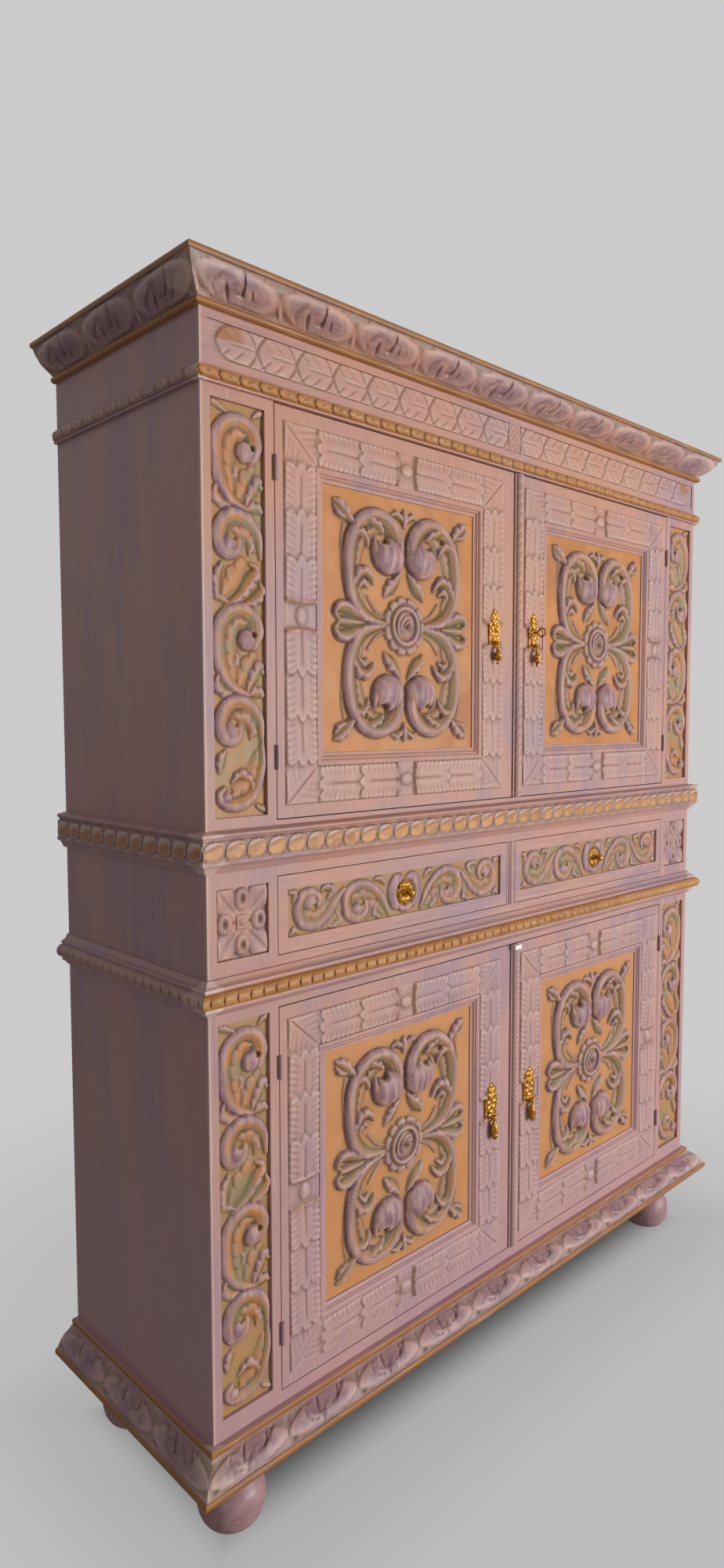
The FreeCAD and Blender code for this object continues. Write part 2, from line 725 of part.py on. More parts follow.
# Keyhole plate with two ears and a pivot pin for the drop pull.
def keyhole_plate(label, level, hand):
    width, height, rise, _, _ = plate_styles[level]
    z = door_floors[level] + rise - height * pivot_rise_share
    x = handed(hand, plate_x)
    pivot_z = z + height * pivot_rise_share
    plate = prism(f"{label}_outline_plate", "XZ_Plane", [plate_outline(width, height)], d.plate_thickness)
    place(plate, x - width / 2, front_y, z)
    pieces = [plate]
    ear_offset = (d.ear_space + d.ear_thickness) / 2
    for name, offset in (("inner", -ear_offset), ("outer", ear_offset)):
        pieces.append(box(f"{label}_ear_arm_{name}", x + offset - d.ear_thickness / 2, pivot_y,
                          pivot_z - d.ear_radius,
                          d.ear_thickness, d.pivot_reach + d.plate_thickness / 2, 2 * d.ear_radius))
        pieces.append(cylinder_x(f"{label}_ear_{name}", x + offset, pivot_y, pivot_z, d.ear_radius,
                                 d.ear_thickness))
    pieces.append(cylinder_x(f"{label}_pivot", x, pivot_y, pivot_z, d.pivot_radius,
                             d.ear_space + d.ear_thickness))
    hole = keyhole_tools(f"{label}_keyhole", hand, z + height * keyhole_rise_share,
                         front_y - d.plate_thickness - d.cut_overrun,
                         d.plate_thickness + 2 * d.cut_overrun, 0)
    return cut(label, fuse(f"{label}_blank", pieces), hole)


# Drop pull: an eye on the pivot pin with a turned drop under it.
def drop_pull(label, level, hand):
    _, _, rise, length, shares = plate_styles[level]
    x, z = handed(hand, plate_x), door_floors[level] + rise
    drop = place(turned(f"{label}_body", scaled(shares, d.drop_radius, length)), x, pivot_y, z)
    eye = cylinder_x(f"{label}_eye", x, pivot_y, z, d.ear_radius, d.ear_space - 2 * d.drop_clearance)
    bore = cylinder_x(f"{label}_bore", x, pivot_y, z, d.pivot_radius + d.pin_clearance,
                      d.ear_space + d.cut_overrun)
    return keep(cut(label, fuse(f"{label}_blank", [drop, eye]), [bore]))


def keyhole_z(level):
    _, height, rise, _, _ = plate_styles[level]
    return door_floors[level] + rise + height * (keyhole_rise_share - pivot_rise_share)


lock_bolt_y = inner_y + (d.lock_depth - d.lock_wall - d.lock_bolt_thickness) / 2


# Surface lock on the back of the meeting stile: a case open towards the wood, with a slot for its bolt.
def lock_case(label, level):
    z = keyhole_z(level) - d.lock_below
    height = d.lock_below + d.lock_above
    edge = -meeting_edge_x
    blank = box(f"{label}_blank", edge, inner_y, z, d.lock_width, d.lock_depth, height)
    cavity = box(f"{label}_cavity", edge + d.lock_wall, inner_y - d.cut_overrun, z + d.lock_wall,
                 d.lock_width - 2 * d.lock_wall, d.lock_depth - d.lock_wall + d.cut_overrun,
                 height - 2 * d.lock_wall)
    slot = box(f"{label}_slot", edge - d.cut_overrun, lock_bolt_y - d.bolt_play,
               keyhole_z(level) + d.lock_bolt_rise - d.bolt_play, d.lock_wall + 2 * d.cut_overrun,
               d.lock_bolt_thickness + 2 * d.bolt_play, d.lock_bolt_height + 2 * d.bolt_play)
    return cut(label, blank, [cavity, slot])


def lock_bolt(level):
    return keep(box(f"{level}_lock_bolt", -meeting_edge_x, lock_bolt_y, keyhole_z(level) + d.lock_bolt_rise,
                    d.lock_bolt_length, d.lock_bolt_thickness, d.lock_bolt_height))


# Key in the upper right door: round shank, bit inside the lock and a ring bow in front.
def door_key():
    x, z = -plate_x, keyhole_z("upper")
    tip_y = inner_y + d.lock_depth - d.lock_wall - d.key_end_clear
    bow_y = plate_front_y - d.key_reach
    shank = cylinder("key_shank", x, tip_y, z, d.key_radius, tip_y - bow_y - d.key_bow_radius, to_front)
    bit = box("key_bit", x - d.key_bit_width / 2, tip_y - d.key_bit_depth, z - d.key_bit_length,
              d.key_bit_width, d.key_bit_depth, d.key_bit_length)
    bow = doc.addObject("Part::Torus", "key_bow")
    bind(bow, "Radius1", d.key_bow_radius)
    bind(bow, "Radius2", d.key_bow_wire)
    place(bow, x, bow_y, z, along_x)
    return keep(fuse("door_key", [shank, bit, bow]))


slide_bolt_x = meeting_edge_x - d.slide_bolt_setback - d.slide_bolt_width
slide_bolt_y = inner_y + d.slide_guide_wall / 2


# Guides on the back of a left door for its slide bolt.
def slide_guides(label, level):
    guides = []
    top = door_floors[level] + d.door_height - d.slide_guide_drop
    for number in (0, 1):
        z = top - d.slide_guide_height - number * d.slide_guide_pitch
        wall = d.slide_guide_wall
        blank = box(f"{label}_{number}_blank", slide_bolt_x - wall, inner_y, z, d.slide_bolt_width + 2 * wall,
                    slide_bolt_y - inner_y + d.slide_bolt_thickness + wall, d.slide_guide_height)
        way = box(f"{label}_{number}_way", slide_bolt_x - d.bolt_play, slide_bolt_y - d.bolt_play,
                  z - d.cut_overrun,
                  d.slide_bolt_width + 2 * d.bolt_play, d.slide_bolt_thickness + 2 * d.bolt_play,
                  d.slide_guide_height + 2 * d.cut_overrun)
        guides.append(cut(f"{label}_{number}", blank, [way]))
    return guides


def slide_bolt(level):
    top = door_floors[level] + d.door_height - d.slide_bolt_drop
    bar = box(f"{level}_slide_bar", slide_bolt_x, slide_bolt_y, top - d.slide_bolt_length,
              d.slide_bolt_width, d.slide_bolt_thickness, d.slide_bolt_length)
    knob = cylinder(f"{level}_slide_knob", slide_bolt_x + d.slide_bolt_width / 2,
                    slide_bolt_y + d.slide_bolt_thickness + d.slide_knob_reach,
                    top - d.slide_bolt_length + d.slide_bolt_width, d.slide_knob_radius,
                    d.slide_knob_reach + d.slide_bolt_thickness / 2, to_front)
    return keep(fuse(f"{level}_slide_bolt", [bar, knob]))


# Framed door: tenoned rails between grooved stiles, a panel in the grooves and a mitred moulding round it.
def door(level, name):
    hand = hands[name]
    label = f"{level}_{name}_door"
    floor = door_floors[level]
    low_x, high_x = hinge_edge_x + d.hinge_stile_width, meeting_edge_x - d.meeting_stile_width
    low_z, high_z = floor + d.door_rail_width, floor + d.door_height - d.door_rail_width
    panel_y = front_y + d.panel_recess
    tenon_y = front_y + (d.face_thickness - d.tenon_thickness) / 2
    tenon_lift = (d.door_rail_width - d.tenon_width) / 2
    rail_floors = {"bottom": floor, "top": high_z}
    tenons = {"hinge": low_x - d.tenon_length, "meeting": high_x}

    def groove(piece_label, x, z, dx, dz):
        return hand_box(f"{piece_label}_groove", hand, x, panel_y, z, dx, d.panel_thickness, dz)

    members = []
    for end, z in rail_floors.items():
        piece = f"{label}_{end}_rail"
        bar = hand_box(f"{piece}_bar", hand, low_x, front_y, z, high_x - low_x, d.face_thickness,
                       d.door_rail_width)
        tongue = hand_box(f"{piece}_tenons", hand, low_x - d.tenon_length, tenon_y, z + tenon_lift,
                          high_x - low_x + 2 * d.tenon_length, d.tenon_thickness, d.tenon_width)
        inner = low_z - d.groove_depth if end == "bottom" else high_z
        members.append(cut(piece, fuse(f"{piece}_blank", [bar, tongue]),
                           [groove(piece, low_x, inner, high_x - low_x, d.groove_depth)]))
    stiles = {"hinge": (hinge_edge_x, d.hinge_stile_width, low_x - d.groove_depth),
              "meeting": (high_x, d.meeting_stile_width, high_x)}
    for end, (x, width, groove_x) in stiles.items():
        piece = f"{label}_{end}_stile"
        bar = hand_box(f"{piece}_bar", hand, x, front_y, floor, width, d.face_thickness, d.door_height)
        tools = [groove(piece, groove_x, low_z - d.groove_depth, d.groove_depth,
                        high_z - low_z + 2 * d.groove_depth)]
        tools += [hand_box(f"{piece}_{joint}_mortise", hand, tenons[end], tenon_y, z + tenon_lift,
                           d.tenon_length, d.tenon_thickness, d.tenon_width)
                  for joint, z in rail_floors.items()]
        if end == "hinge":
            tools += leaf_recesses(piece, level, hand, hinge_edge_x)
        elif name == "right":
            tools += keyhole_tools(f"{piece}_keyhole", hand, keyhole_z(level), front_y - d.cut_overrun,
                                   d.face_thickness + 2 * d.cut_overrun, d.bolt_play)
        members.append(cut(piece, bar, tools))
    keep(group(f"{label}_frame", members))

    tongue = d.groove_depth - d.panel_play
    keep(hand_box(f"{label}_panel", hand, low_x - tongue, panel_y, low_z - tongue,
                  high_x - low_x + 2 * tongue, d.panel_thickness, high_z - low_z + 2 * tongue))

    section = scaled(trim_shares, d.trim_width, d.panel_recess + d.trim_proud)
    left_x, right_x = handed(hand, low_x if hand < 0 else high_x), handed(hand, high_x if hand < 0 else low_x)
    corners = [(left_x, low_z), (right_x, low_z), (right_x, high_z), (left_x, high_z)]
    trim = []
    for number, (x, z) in enumerate(corners):
        run = (high_x - low_x, high_z - low_z)[number % 2]
        strip = moulding(f"{label}_trim_{number}", section, d.trim_width, run, (True, True), inward=True)
        trim.append(place(strip, x, panel_y, z, Rotation(Vector(0, 1, 0), -90 * number).multiply(to_front)))
    if name == "right":
        trim.append(closing_strip(f"{label}_closing_strip", floor))
    keep(group(f"{label}_trim", trim))

    fittings = [hinge_leaf(f"{label}_hinge_{end}", hand, floor + rise, True)
                for end, rise in hinge_rises.items()]
    fittings.append(keyhole_plate(f"{label}_plate", level, hand))
    if name == "right":
        fittings.append(lock_case(f"{label}_lock_case", level))
    else:
        fittings += slide_guides(f"{label}_guide", level)
    if label == "lower_right_door":
        fittings.append(box("lower_catch", -meeting_edge_x, front_y - d.closing_strip_reach - d.catch_reach,
                            floor + d.door_height - d.catch_height, d.catch_width,
                            d.closing_strip_reach + d.catch_reach, d.catch_height))
    keep(group(f"{label}_fittings", fittings))
    drop_pull(f"{level}_{name}_drop", level, hand)


strip_shares = [(0, 0), (1, 0), (1, 0.35), (0.86, 0.45), (0.14, 0.45, 1, 0.62), (0, 0.35)]


# Upright strip with a rounded face, standing on a front plane.
def upright_strip(label, width, reach, x, z, height):
    strip = prism(label, "XY_Plane", [scaled(strip_shares, width, reach)], height)
    return place(strip, x + width, front_y, z, Rotation(Vector(0, 0, 1), 180))


def closing_strip(label, floor):
    height = d.door_height - d.catch_height if label.startswith("lower") else d.door_height
    return upright_strip(label, d.closing_strip_width, d.closing_strip_reach, -meeting_edge_x, floor, height)


drawer_x = post_edge_x + d.drawer_gap
drawer_width = (opening_width - d.divider_width) / 2 - 2 * d.drawer_gap
drawer_side_z = drawer_z + d.drawer_gap + d.drawer_side_rise
knob_plate_shares = [(0, 0), (1, 0), (0.94, 0.7), (0.5, 1), (0, 1)]
knob_shares = [(0, 0), (0.62, 0), (0.4, 0.22, -1, 0.8), (0.4, 0.4), (1, 0.66, -1, 1.1), (0.25, 1, 1, 0.72),
               (0, 1)]


def drawer_divider():
    x = -d.divider_width / 2
    post = box("divider_post", x, front_y, drawer_z, d.divider_width, d.face_thickness,
               d.drawer_opening_height)
    strip = upright_strip("divider_strip", d.divider_strip_width, d.divider_strip_reach,
                          -d.divider_strip_width / 2,
                          drawer_z, d.drawer_opening_height)
    return keep(group("drawer_divider", [post, strip]))


# Runners carry the drawer sides, and guides on them keep the drawers straight.
def drawer_runners():
    runner_height = d.drawer_gap + d.drawer_side_rise - d.running_gap
    outer = drawer_x + d.drawer_side_inset
    inner = drawer_x + drawer_width - d.drawer_side_inset
    pieces = [box("runner_centre", inner - d.runner_cover, inner_y, drawer_z, -2 * (inner - d.runner_cover),
                  inside_depth, runner_height),
              box("guide_centre", inner + d.running_gap, inner_y, drawer_z + runner_height,
                  -2 * (inner + d.running_gap), inside_depth, d.guide_height)]
    for name, hand in hands.items():
        pieces.append(hand_box(f"runner_{name}", hand, side_inner_x, inner_y, drawer_z,
                               outer + d.runner_cover - side_inner_x, inside_depth, runner_height))
        pieces.append(hand_box(f"guide_{name}", hand, side_inner_x, inner_y, drawer_z + runner_height,
                               outer - d.running_gap - side_inner_x, inside_depth, d.guide_height))
    return keep(group("drawer_runners", pieces))


def drawer(name):
    hand = hands[name]
    label = f"{name}_drawer"
    low_z = drawer_z + d.drawer_gap
    height = d.drawer_opening_height - 2 * d.drawer_gap
    blank = hand_box(f"{label}_blank", hand, drawer_x, front_y, low_z, drawer_width,
                     d.drawer_front_thickness, height)
    field = hand_box(f"{label}_field", hand, drawer_x + d.drawer_border_side, front_y - d.cut_overrun,
                     low_z + d.drawer_border_edge, drawer_width - 2 * d.drawer_border_side,
                     d.drawer_field_depth + d.cut_overrun, height - 2 * d.drawer_border_edge)
    keep(cut(f"{label}_front", blank, [field]))

    wall = d.drawer_side_thickness
    y = front_y + d.drawer_front_thickness
    length = back_inner_y - d.drawer_back_space - y
    outer = drawer_x + d.drawer_side_inset
    width = drawer_width - 2 * d.drawer_side_inset
    sides = [hand_box(f"{label}_{end}_side", hand, x, y, drawer_side_z, wall, length, d.drawer_side_height)
             for end, x in (("outer", outer), ("inner", outer + width - wall))]
    back = hand_box(f"{label}_back", hand, outer + wall, y + length - wall, drawer_side_z,
                    width - 2 * wall, wall, d.drawer_side_height)
    bottom = hand_box(f"{label}_bottom", hand, outer + wall, y, drawer_side_z + d.drawer_bottom_rise,
                      width - 2 * wall, length - wall, d.drawer_bottom_thickness)
    keep(group(f"{label}_box", [*sides, back, bottom]))

    x = handed(hand, drawer_x + drawer_width / 2)
    field_y = front_y + d.drawer_field_depth
    plate = turned(f"{label}_knob_plate",
                   scaled(knob_plate_shares, d.knob_plate_radius, d.knob_plate_thickness))
    place(plate, x, field_y, drawer_middle_z, to_front)
    knob = turned(f"{label}_knob_turning", scaled(knob_shares, d.knob_radius, d.knob_reach))
    place(knob, x, field_y - d.knob_plate_thickness, drawer_middle_z, to_front)
    keep(group(f"{label}_knob", [plate, knob]))


bun_feet()
plinth_frame()
case_mouldings()
lower_case()
paterae()
drawer_divider()
drawer_runners()
upper_case()
shelf_cleats()
case_hinges()
for door_level in door_floors:
    for door_hand in hands:
        door(door_level, door_hand)
    lock_bolt(door_level)
    slide_bolt(door_level)
door_key()
for drawer_hand in hands:
    drawer(drawer_hand)
doc.recompute()

# Every piece is sound before any file is written.
for item in doc.Objects:
    if "Invalid" in item.State or "Error" in item.State:
        raise RuntimeError(f"{item.Label} did not build: {item.State}")
for body, sawn in carved_cuts:
    if body.Shape.Volume >= sawn.BaseFeature.Shape.Volume:
        raise RuntimeError(f"{body.Label} was not sawn")
for part in sub_parts:
    if part.Shape.isNull() or not part.Shape.isValid():
        raise RuntimeError(f"{part.Label} has no sound shape")

os.makedirs("parts", exist_ok=True)
for part in sub_parts:
    part.Shape.exportStep(f"parts/{part.Label}.step")
print(f"{len(sub_parts)} sub-parts, {sum(len(part.Shape.Solids) for part in sub_parts)} solids")
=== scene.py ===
import math

import bpy
import numpy as np
from mathutils import Matrix, Vector


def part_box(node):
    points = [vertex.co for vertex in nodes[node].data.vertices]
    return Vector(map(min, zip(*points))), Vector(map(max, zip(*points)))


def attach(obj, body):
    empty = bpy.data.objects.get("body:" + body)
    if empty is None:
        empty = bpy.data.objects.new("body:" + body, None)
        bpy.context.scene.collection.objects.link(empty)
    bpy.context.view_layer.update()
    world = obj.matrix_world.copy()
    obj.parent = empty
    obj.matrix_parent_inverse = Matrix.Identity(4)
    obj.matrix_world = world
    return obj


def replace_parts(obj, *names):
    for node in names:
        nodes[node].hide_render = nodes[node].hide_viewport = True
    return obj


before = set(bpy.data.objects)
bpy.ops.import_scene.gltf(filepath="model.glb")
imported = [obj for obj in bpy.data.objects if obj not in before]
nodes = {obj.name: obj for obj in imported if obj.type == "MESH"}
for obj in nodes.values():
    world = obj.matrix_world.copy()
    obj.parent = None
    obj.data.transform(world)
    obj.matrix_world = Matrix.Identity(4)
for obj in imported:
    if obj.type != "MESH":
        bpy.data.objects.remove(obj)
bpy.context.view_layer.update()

scene = bpy.context.scene
scene.view_settings.view_transform = "Standard"
mm = 0.001  # carving is worked out in millimetres
print("frame loaded:", len(nodes), "nodes")


# shader maths: a Wire holds one socket, and an expression on Wires adds Math nodes
class Wire:
    def __init__(self, tree, socket=None):
        self.tree, self.socket = tree, socket

    def node(self, kind, settings=None, inputs=None, output=0):
        made = self.tree.nodes.new(kind)
        for name, value in (settings or {}).items():
            setattr(made, name, value)
        for name, value in (inputs or {}).items():
            if isinstance(value, Wire):
                self.tree.links.new(value.socket, made.inputs[name])
            else:
                made.inputs[name].default_value = value
        return Wire(self.tree, made.outputs[output] if len(made.outputs) else None)

    def math(self, operation, first, second=0.0):
        return self.node("ShaderNodeMath", {"operation": operation}, {0: first, 1: second})

    def __add__(self, other):
        return self.math("ADD", self, other)

    __radd__ = __add__

    def __sub__(self, other):
        return self.math("SUBTRACT", self, other)

    def __rsub__(self, other):
        return self.math("SUBTRACT", other, self)

    def __mul__(self, other):
        return self.math("MULTIPLY", self, other)

    __rmul__ = __mul__

    def __gt__(self, other):
        return self.math("GREATER_THAN", self, other)

    def __abs__(self):
        return self.math("ABSOLUTE", self)

    def between(self, low, high):
        # 0 below low, 1 above high, smooth in between
        return self.node("ShaderNodeMapRange", {"interpolation_type": "SMOOTHSTEP"},
                         {"Value": self, "From Min": low, "From Max": high})

    def blend(self, first, second, factor, mode="MIX"):
        settings = {"data_type": "RGBA", "blend_type": mode}
        return self.node("ShaderNodeMix", settings, {0: factor, 6: first, 7: second}, 2)

    def noise(self, place, scale, detail=3.0, rough=0.55):
        return self.node("ShaderNodeTexNoise", None,
                         {"Vector": place, "Scale": scale, "Detail": detail, "Roughness": rough})

    def stretched(self, place, scale):
        return self.node("ShaderNodeVectorMath", {"operation": "MULTIPLY"}, {0: place, 1: scale})

    def grained(self, place, grain, finer=1.0, plus=0.0, detail=2.0, rough=0.55):
        # noise drawn out along the grain
        scale = tuple(finer * step + plus for step in grains[grain])
        return self.noise(self.stretched(place, scale), 1.0, detail, rough)

    def axis(self, place, index):
        return self.node("ShaderNodeSeparateXYZ", None, {0: place}, index)

    def attribute(self, name):
        return self.node("ShaderNodeAttribute", {"attribute_name": name}, None, 2)

    def coats(self, colour, *layers):
        # paint laid on in turn: a name in wash, or a colour, and how much of it covers
        for paint, cover in layers:
            colour = self.blend(colour, wash.get(paint, paint), cover)
        return colour


# a colour written as seen on a screen, turned to the linear value that a shader takes
def tone(red, green, blue):
    seen = np.array([red, green, blue]) / 255
    linear = np.where(seen > 0.04045, ((seen + 0.055) / 1.055) ** 2.4, seen / 12.92)
    return (*linear.tolist(), 1.0)


def startMaterial(name):
    made = bpy.data.materials.new(name)
    made.use_nodes = True
    tree = made.node_tree
    shader = tree.nodes["Principled BSDF"]
    wire = Wire(tree)
    return made, shader, wire, wire.node("ShaderNodeTexCoord", None, None, 3)


def finishMaterial(shader, wire, colour, rough, height=None, strength=0.2, distance=0.001):
    wire.tree.links.new(colour.socket, shader.inputs["Base Color"])
    if isinstance(rough, Wire):
        wire.tree.links.new(rough.socket, shader.inputs["Roughness"])
    else:
        shader.inputs["Roughness"].default_value = rough
    if height is not None:
        relief = {"Height": height, "Strength": strength, "Distance": distance}
        bump = wire.node("ShaderNodeBump", None, relief)
        wire.tree.links.new(bump.socket, shader.inputs["Normal"])


wash = {
    "lilac": tone(163, 129, 138), "mauve": tone(185, 139, 128), "pale": tone(205, 162, 147),
    "warm": tone(192, 138, 108), "dull": tone(134, 106, 108), "orchid": tone(190, 150, 154),
    "apricot": tone(218, 148, 96), "cavity": tone(122, 90, 74), "ridge": tone(214, 182, 168),
    "shadow": tone(72, 50, 34), "ochre": tone(197, 129, 68), "ochreDeep": tone(174, 111, 68),
    "sage": tone(138, 136, 102), "umber": tone(120, 96, 62), "olive": tone(158, 130, 86),
    "bronze": tone(182, 130, 82), "taupe": tone(154, 120, 98), "plum": tone(130, 92, 108),
    "rose": tone(200, 156, 148), "gold": tone(160, 102, 36), "goldPale": tone(210, 148, 82),
}
grains = {"upright": (130.0, 130.0, 5.0), "across": (5.0, 130.0, 130.0), "deep": (130.0, 5.0, 130.0)}


# where the wash changes, in metres: warmer high up, pinker low down, greyer on the case's sides, and pale on
# its front corners, rubbed there and with a painted highlight along the edge; the corners are found by half
# width plus depth
washPlaces = {"warm": (0.5, 1.7), "pink": (0.1, 1.0), "sides": (0.7505, 0.7515), "corners": (0.9475, 0.953)}


# mauve wash brushed over wood: long streaks with the grain between lilac, mauve and pale pink
def washColour(wire, place, grain):
    streak = wire.grained(place, grain, detail=4.0, rough=0.6)
    broad = wire.grained(place, grain, 0.06, 2.5, 3.0)
    across, deep, height = (wire.axis(place, k) for k in range(3))
    warmth = wire.noise(place, 3.1, 2.0).between(0.4, 0.72)
    # the last coat pales the front corners: rubbed wear and a painted highlight along the edge
    colour = wire.coats(
        wash["lilac"],
        ("mauve", broad.between(0.36, 0.6)),
        ("pale", streak.between(0.5, 0.78) * 0.75),
        ("dull", (1 - streak).between(0.54, 0.8) * 0.55),
        ("warm", warmth * (height.between(*washPlaces["warm"]) * 0.6 + 0.25)),
        ("orchid", (1 - height.between(*washPlaces["pink"])) * 0.6),
        ("lilac", abs(across).between(*washPlaces["sides"]) * 0.4),
        ("ridge", (abs(across) - deep).between(*washPlaces["corners"]) * (streak + 0.2)))
    return colour, streak


def washMaterial(name, grain):
    made, shader, wire, place = startMaterial(name)
    colour, streak = washColour(wire, place, grain)
    fine = wire.grained(place, grain, 4.0)
    colour = wire.coats(colour, ("ridge", fine.between(0.54, 0.76) * 0.4))
    finishMaterial(shader, wire, colour, streak * 0.2 + 0.45, streak + fine * 0.5, 0.18)
    return made


# carved wash: ridges are rubbed pale and carry a painted highlight, the gold, plum and sage attributes paint
# over them, hollows hold a brown glaze that is also painted shade
def carvedMaterial(name, grain):
    made, shader, wire, place = startMaterial(name)
    colour, streak = washColour(wire, place, grain)
    fine = wire.grained(place, grain, 3.0)
    patch = wire.noise(place, 38.0, 3.0)
    gold = wire.attribute("gold")
    leaf = wire.coats(wash["gold"], ("goldPale", gold.between(0.5, 1.0) * patch.between(0.25, 0.6)))
    colour = wire.coats(
        colour,
        # ridge coat: rubbed wear and painted highlight; cavity coat below: glaze and painted shade
        ("ridge", wire.attribute("ridge") * 0.6 * (patch + 0.3)),
        (leaf, gold.between(0.08, 0.5)),
        ("plum", wire.attribute("plum") * patch.between(0.25, 0.6)),
        ("sage", wire.attribute("sage") * 0.8),
        ("cavity", wire.attribute("cavity") * 0.8),
        ("ridge", fine.between(0.54, 0.76) * 0.4))
    finishMaterial(shader, wire, colour, streak * 0.2 + 0.42, streak + fine * 0.5, 0.16)
    return made


# scroll paint: an ochre ground clouded with sage; relief umber to sage in its inner hollow, partly painted
# shade there, taupe or bronze along the middle and plum to rose on its outer side; ridges take a painted
# highlight
def scrollMaterial(name, sageShare, ochreShare):
    made, shader, wire, place = startMaterial(name)
    cloud, drift = wire.noise(place, 7.0, 3.0), wire.noise(place, 15.0, 2.0)
    brush = wire.noise(wire.stretched(place, (90.0, 90.0, 14.0)), 1.0, 3.0)
    low = 1 - wire.axis(place, 2).between(0.8, 1.2)
    base = wire.coats(
        wash["ochre"],
        ("ochreDeep", cloud.between(0.42, 0.72) * 0.8),
        ("mauve", brush.between(0.6, 0.8) * 0.35),
        ("apricot", drift.between(0.45, 0.62) * 0.45),
        ("sage", drift.between(0.62 - 0.3 * sageShare, 0.72) * sageShare),
        ("apricot", low * 0.5),
        ("sage", low * (0.45 * sageShare)),
        ("olive", wire.attribute("sage") * (0.35 + 0.3 * sageShare)))
    outer = wire.attribute("outer")
    lines = outer.math("SINE", outer * 34.0).between(0.1, 0.9)
    hollow = wire.coats(wash["umber"], ("sage", drift.between(0.4, 0.62) * (0.4 + 0.4 * sageShare)))
    bronze = wire.coats(wash["bronze"], ("ochre", brush.between(0.4, 0.6)))
    middle = wire.coats(
        wash["taupe"],
        (bronze, brush.between(0.35, 0.6) * 0.4 + ochreShare),
        ("sage", drift.between(0.5, 0.62) * (0.3 + 0.4 * sageShare)))
    lilac = wire.coats(wash["plum"], ("rose", brush.between(0.36, 0.7) * 0.85 + lines * 0.15))
    raised = wire.coats(
        hollow,
        (middle, outer.between(0.0, 0.3)),
        (lilac, outer.between(0.38, 0.8)),
        ("ridge", wire.attribute("ridge") * 0.42),
        ("goldPale", wire.attribute("gold") * cloud.between(0.4, 0.6)))
    # the shadow coat is painted shadow in hollows and along the foot of each form
    colour = wire.coats(
        base,
        (raised, wire.attribute("relief").between(0.1, 0.8)),
        ("shadow", wire.attribute("cavity") * 0.75))
    shader.inputs["Specular IOR Level"].default_value = 0.3
    finishMaterial(shader, wire, colour, brush * 0.2 + 0.4, brush, 0.14)
    return made


# metal is 0.7 metallic; the painted hinges stand past the given half width, and the bright catch at the lower
# closing strip's top has its own range of heights and a half width
brassLook = {"bright": tone(214, 154, 58), "deep": tone(112, 70, 20), "catch": tone(222, 218, 210),
             "metal": 0.7, "hinges": (0.58, 0.59), "catchHeights": (0.8615, 0.8725),
             "catchHalf": (0.026, 0.03)}


# aged brass; where the hinge knuckles stand it is painted over, and the catch at the door's top is bright
def brassMaterial(name, fittings=False):
    cfg = brassLook
    made, shader, wire, place = startMaterial(name)
    age, cast = wire.noise(place, 210.0, 4.0), wire.noise(place, 900.0, 2.0)
    colour = wire.blend(cfg["deep"], cfg["bright"], age.between(0.34, 0.62))
    shader.inputs["Metallic"].default_value = cfg["metal"]
    if fittings:
        across, height = wire.axis(place, 0), wire.axis(place, 2)
        low, high = cfg["catchHeights"]
        painted = abs(across).between(*cfg["hinges"])
        catch = (height > low) * (1 - (height > high)) * (1 - across.between(*cfg["catchHalf"]))
        colour = wire.coats(colour, ("lilac", painted), (cfg["catch"], catch))
        metal = cfg["metal"] - painted * 0.65
        wire.tree.links.new(metal.socket, shader.inputs["Metallic"])
    finishMaterial(shader, wire, colour, age * 0.3 + 0.24, age + cast * 0.4, 0.25, 0.0008)
    return made


def steelMaterial(name):
    made, shader, wire, place = startMaterial(name)
    scuff = wire.noise(wire.stretched(place, (500.0, 500.0, 60.0)), 1.0, 3.0)
    colour = wire.blend(tone(92, 88, 84), tone(150, 146, 140), scuff.between(0.35, 0.65))
    shader.inputs["Metallic"].default_value = 0.8
    finishMaterial(shader, wire, colour, scuff * 0.3 + 0.3, scuff, 0.12)
    return made


# bare pine inside and behind: growth rings stretched along the board, with fine pores
def plainWoodMaterial(name, grain):
    made, shader, wire, place = startMaterial(name)
    rings = wire.grained(place, grain, 0.35, 1.0, 5.0, 0.6)
    pores = wire.grained(place, grain, 6.0)
    colour = wire.blend(tone(150, 110, 74), tone(182, 142, 100), rings.between(0.34, 0.64))
    colour = wire.blend(colour, tone(112, 78, 50), pores.between(0.58, 0.75) * 0.5)
    finishMaterial(shader, wire, colour, rings * 0.15 + 0.55, pores, 0.2)
    return made


# turned feet: the wash, with gold on the neck ring between two heights
def footMaterial(name, ringLow, ringHigh, fade=0.003):
    made, shader, wire, place = startMaterial(name)
    colour, streak = washColour(wire, place, "across")
    height = wire.axis(place, 2)
    ring = height.between(ringLow, ringLow + fade) * (1 - height.between(ringHigh - fade, ringHigh))
    colour = wire.coats(colour, ("plum", streak.between(0.3, 0.6) * 0.5), ("gold", ring * 0.9))
    finishMaterial(shader, wire, colour, streak * 0.2 + 0.36, streak, 0.12)
    return made


paints = {
    "upright": washMaterial("mauveWashUpright", "upright"),
    "across": washMaterial("mauveWashAcross", "across"),
    "carvedUpright": carvedMaterial("carvedWashUpright", "upright"),
    "carvedAcross": carvedMaterial("carvedWashAcross", "across"),
    "panel": scrollMaterial("ochrePanelPaint", 0.25, 0.12),
    "scroll": scrollMaterial("sageScrollPaint", 0.85, 0.5),
    "drawer": scrollMaterial("sageDrawerPaint", 1.0, 0.15),
    "brass": brassMaterial("agedBrass"),
    "steel": steelMaterial("dullSteel"),
    "fittings": brassMaterial("brassAndPaintedHinges", True),
    "pineUpright": plainWoodMaterial("barePineUpright", "upright"),
    "pineAcross": plainWoodMaterial("barePineAcross", "across"),
    "feet": footMaterial("footWash", 0.087, 0.109),
}
print("finishes ready:", len(paints))


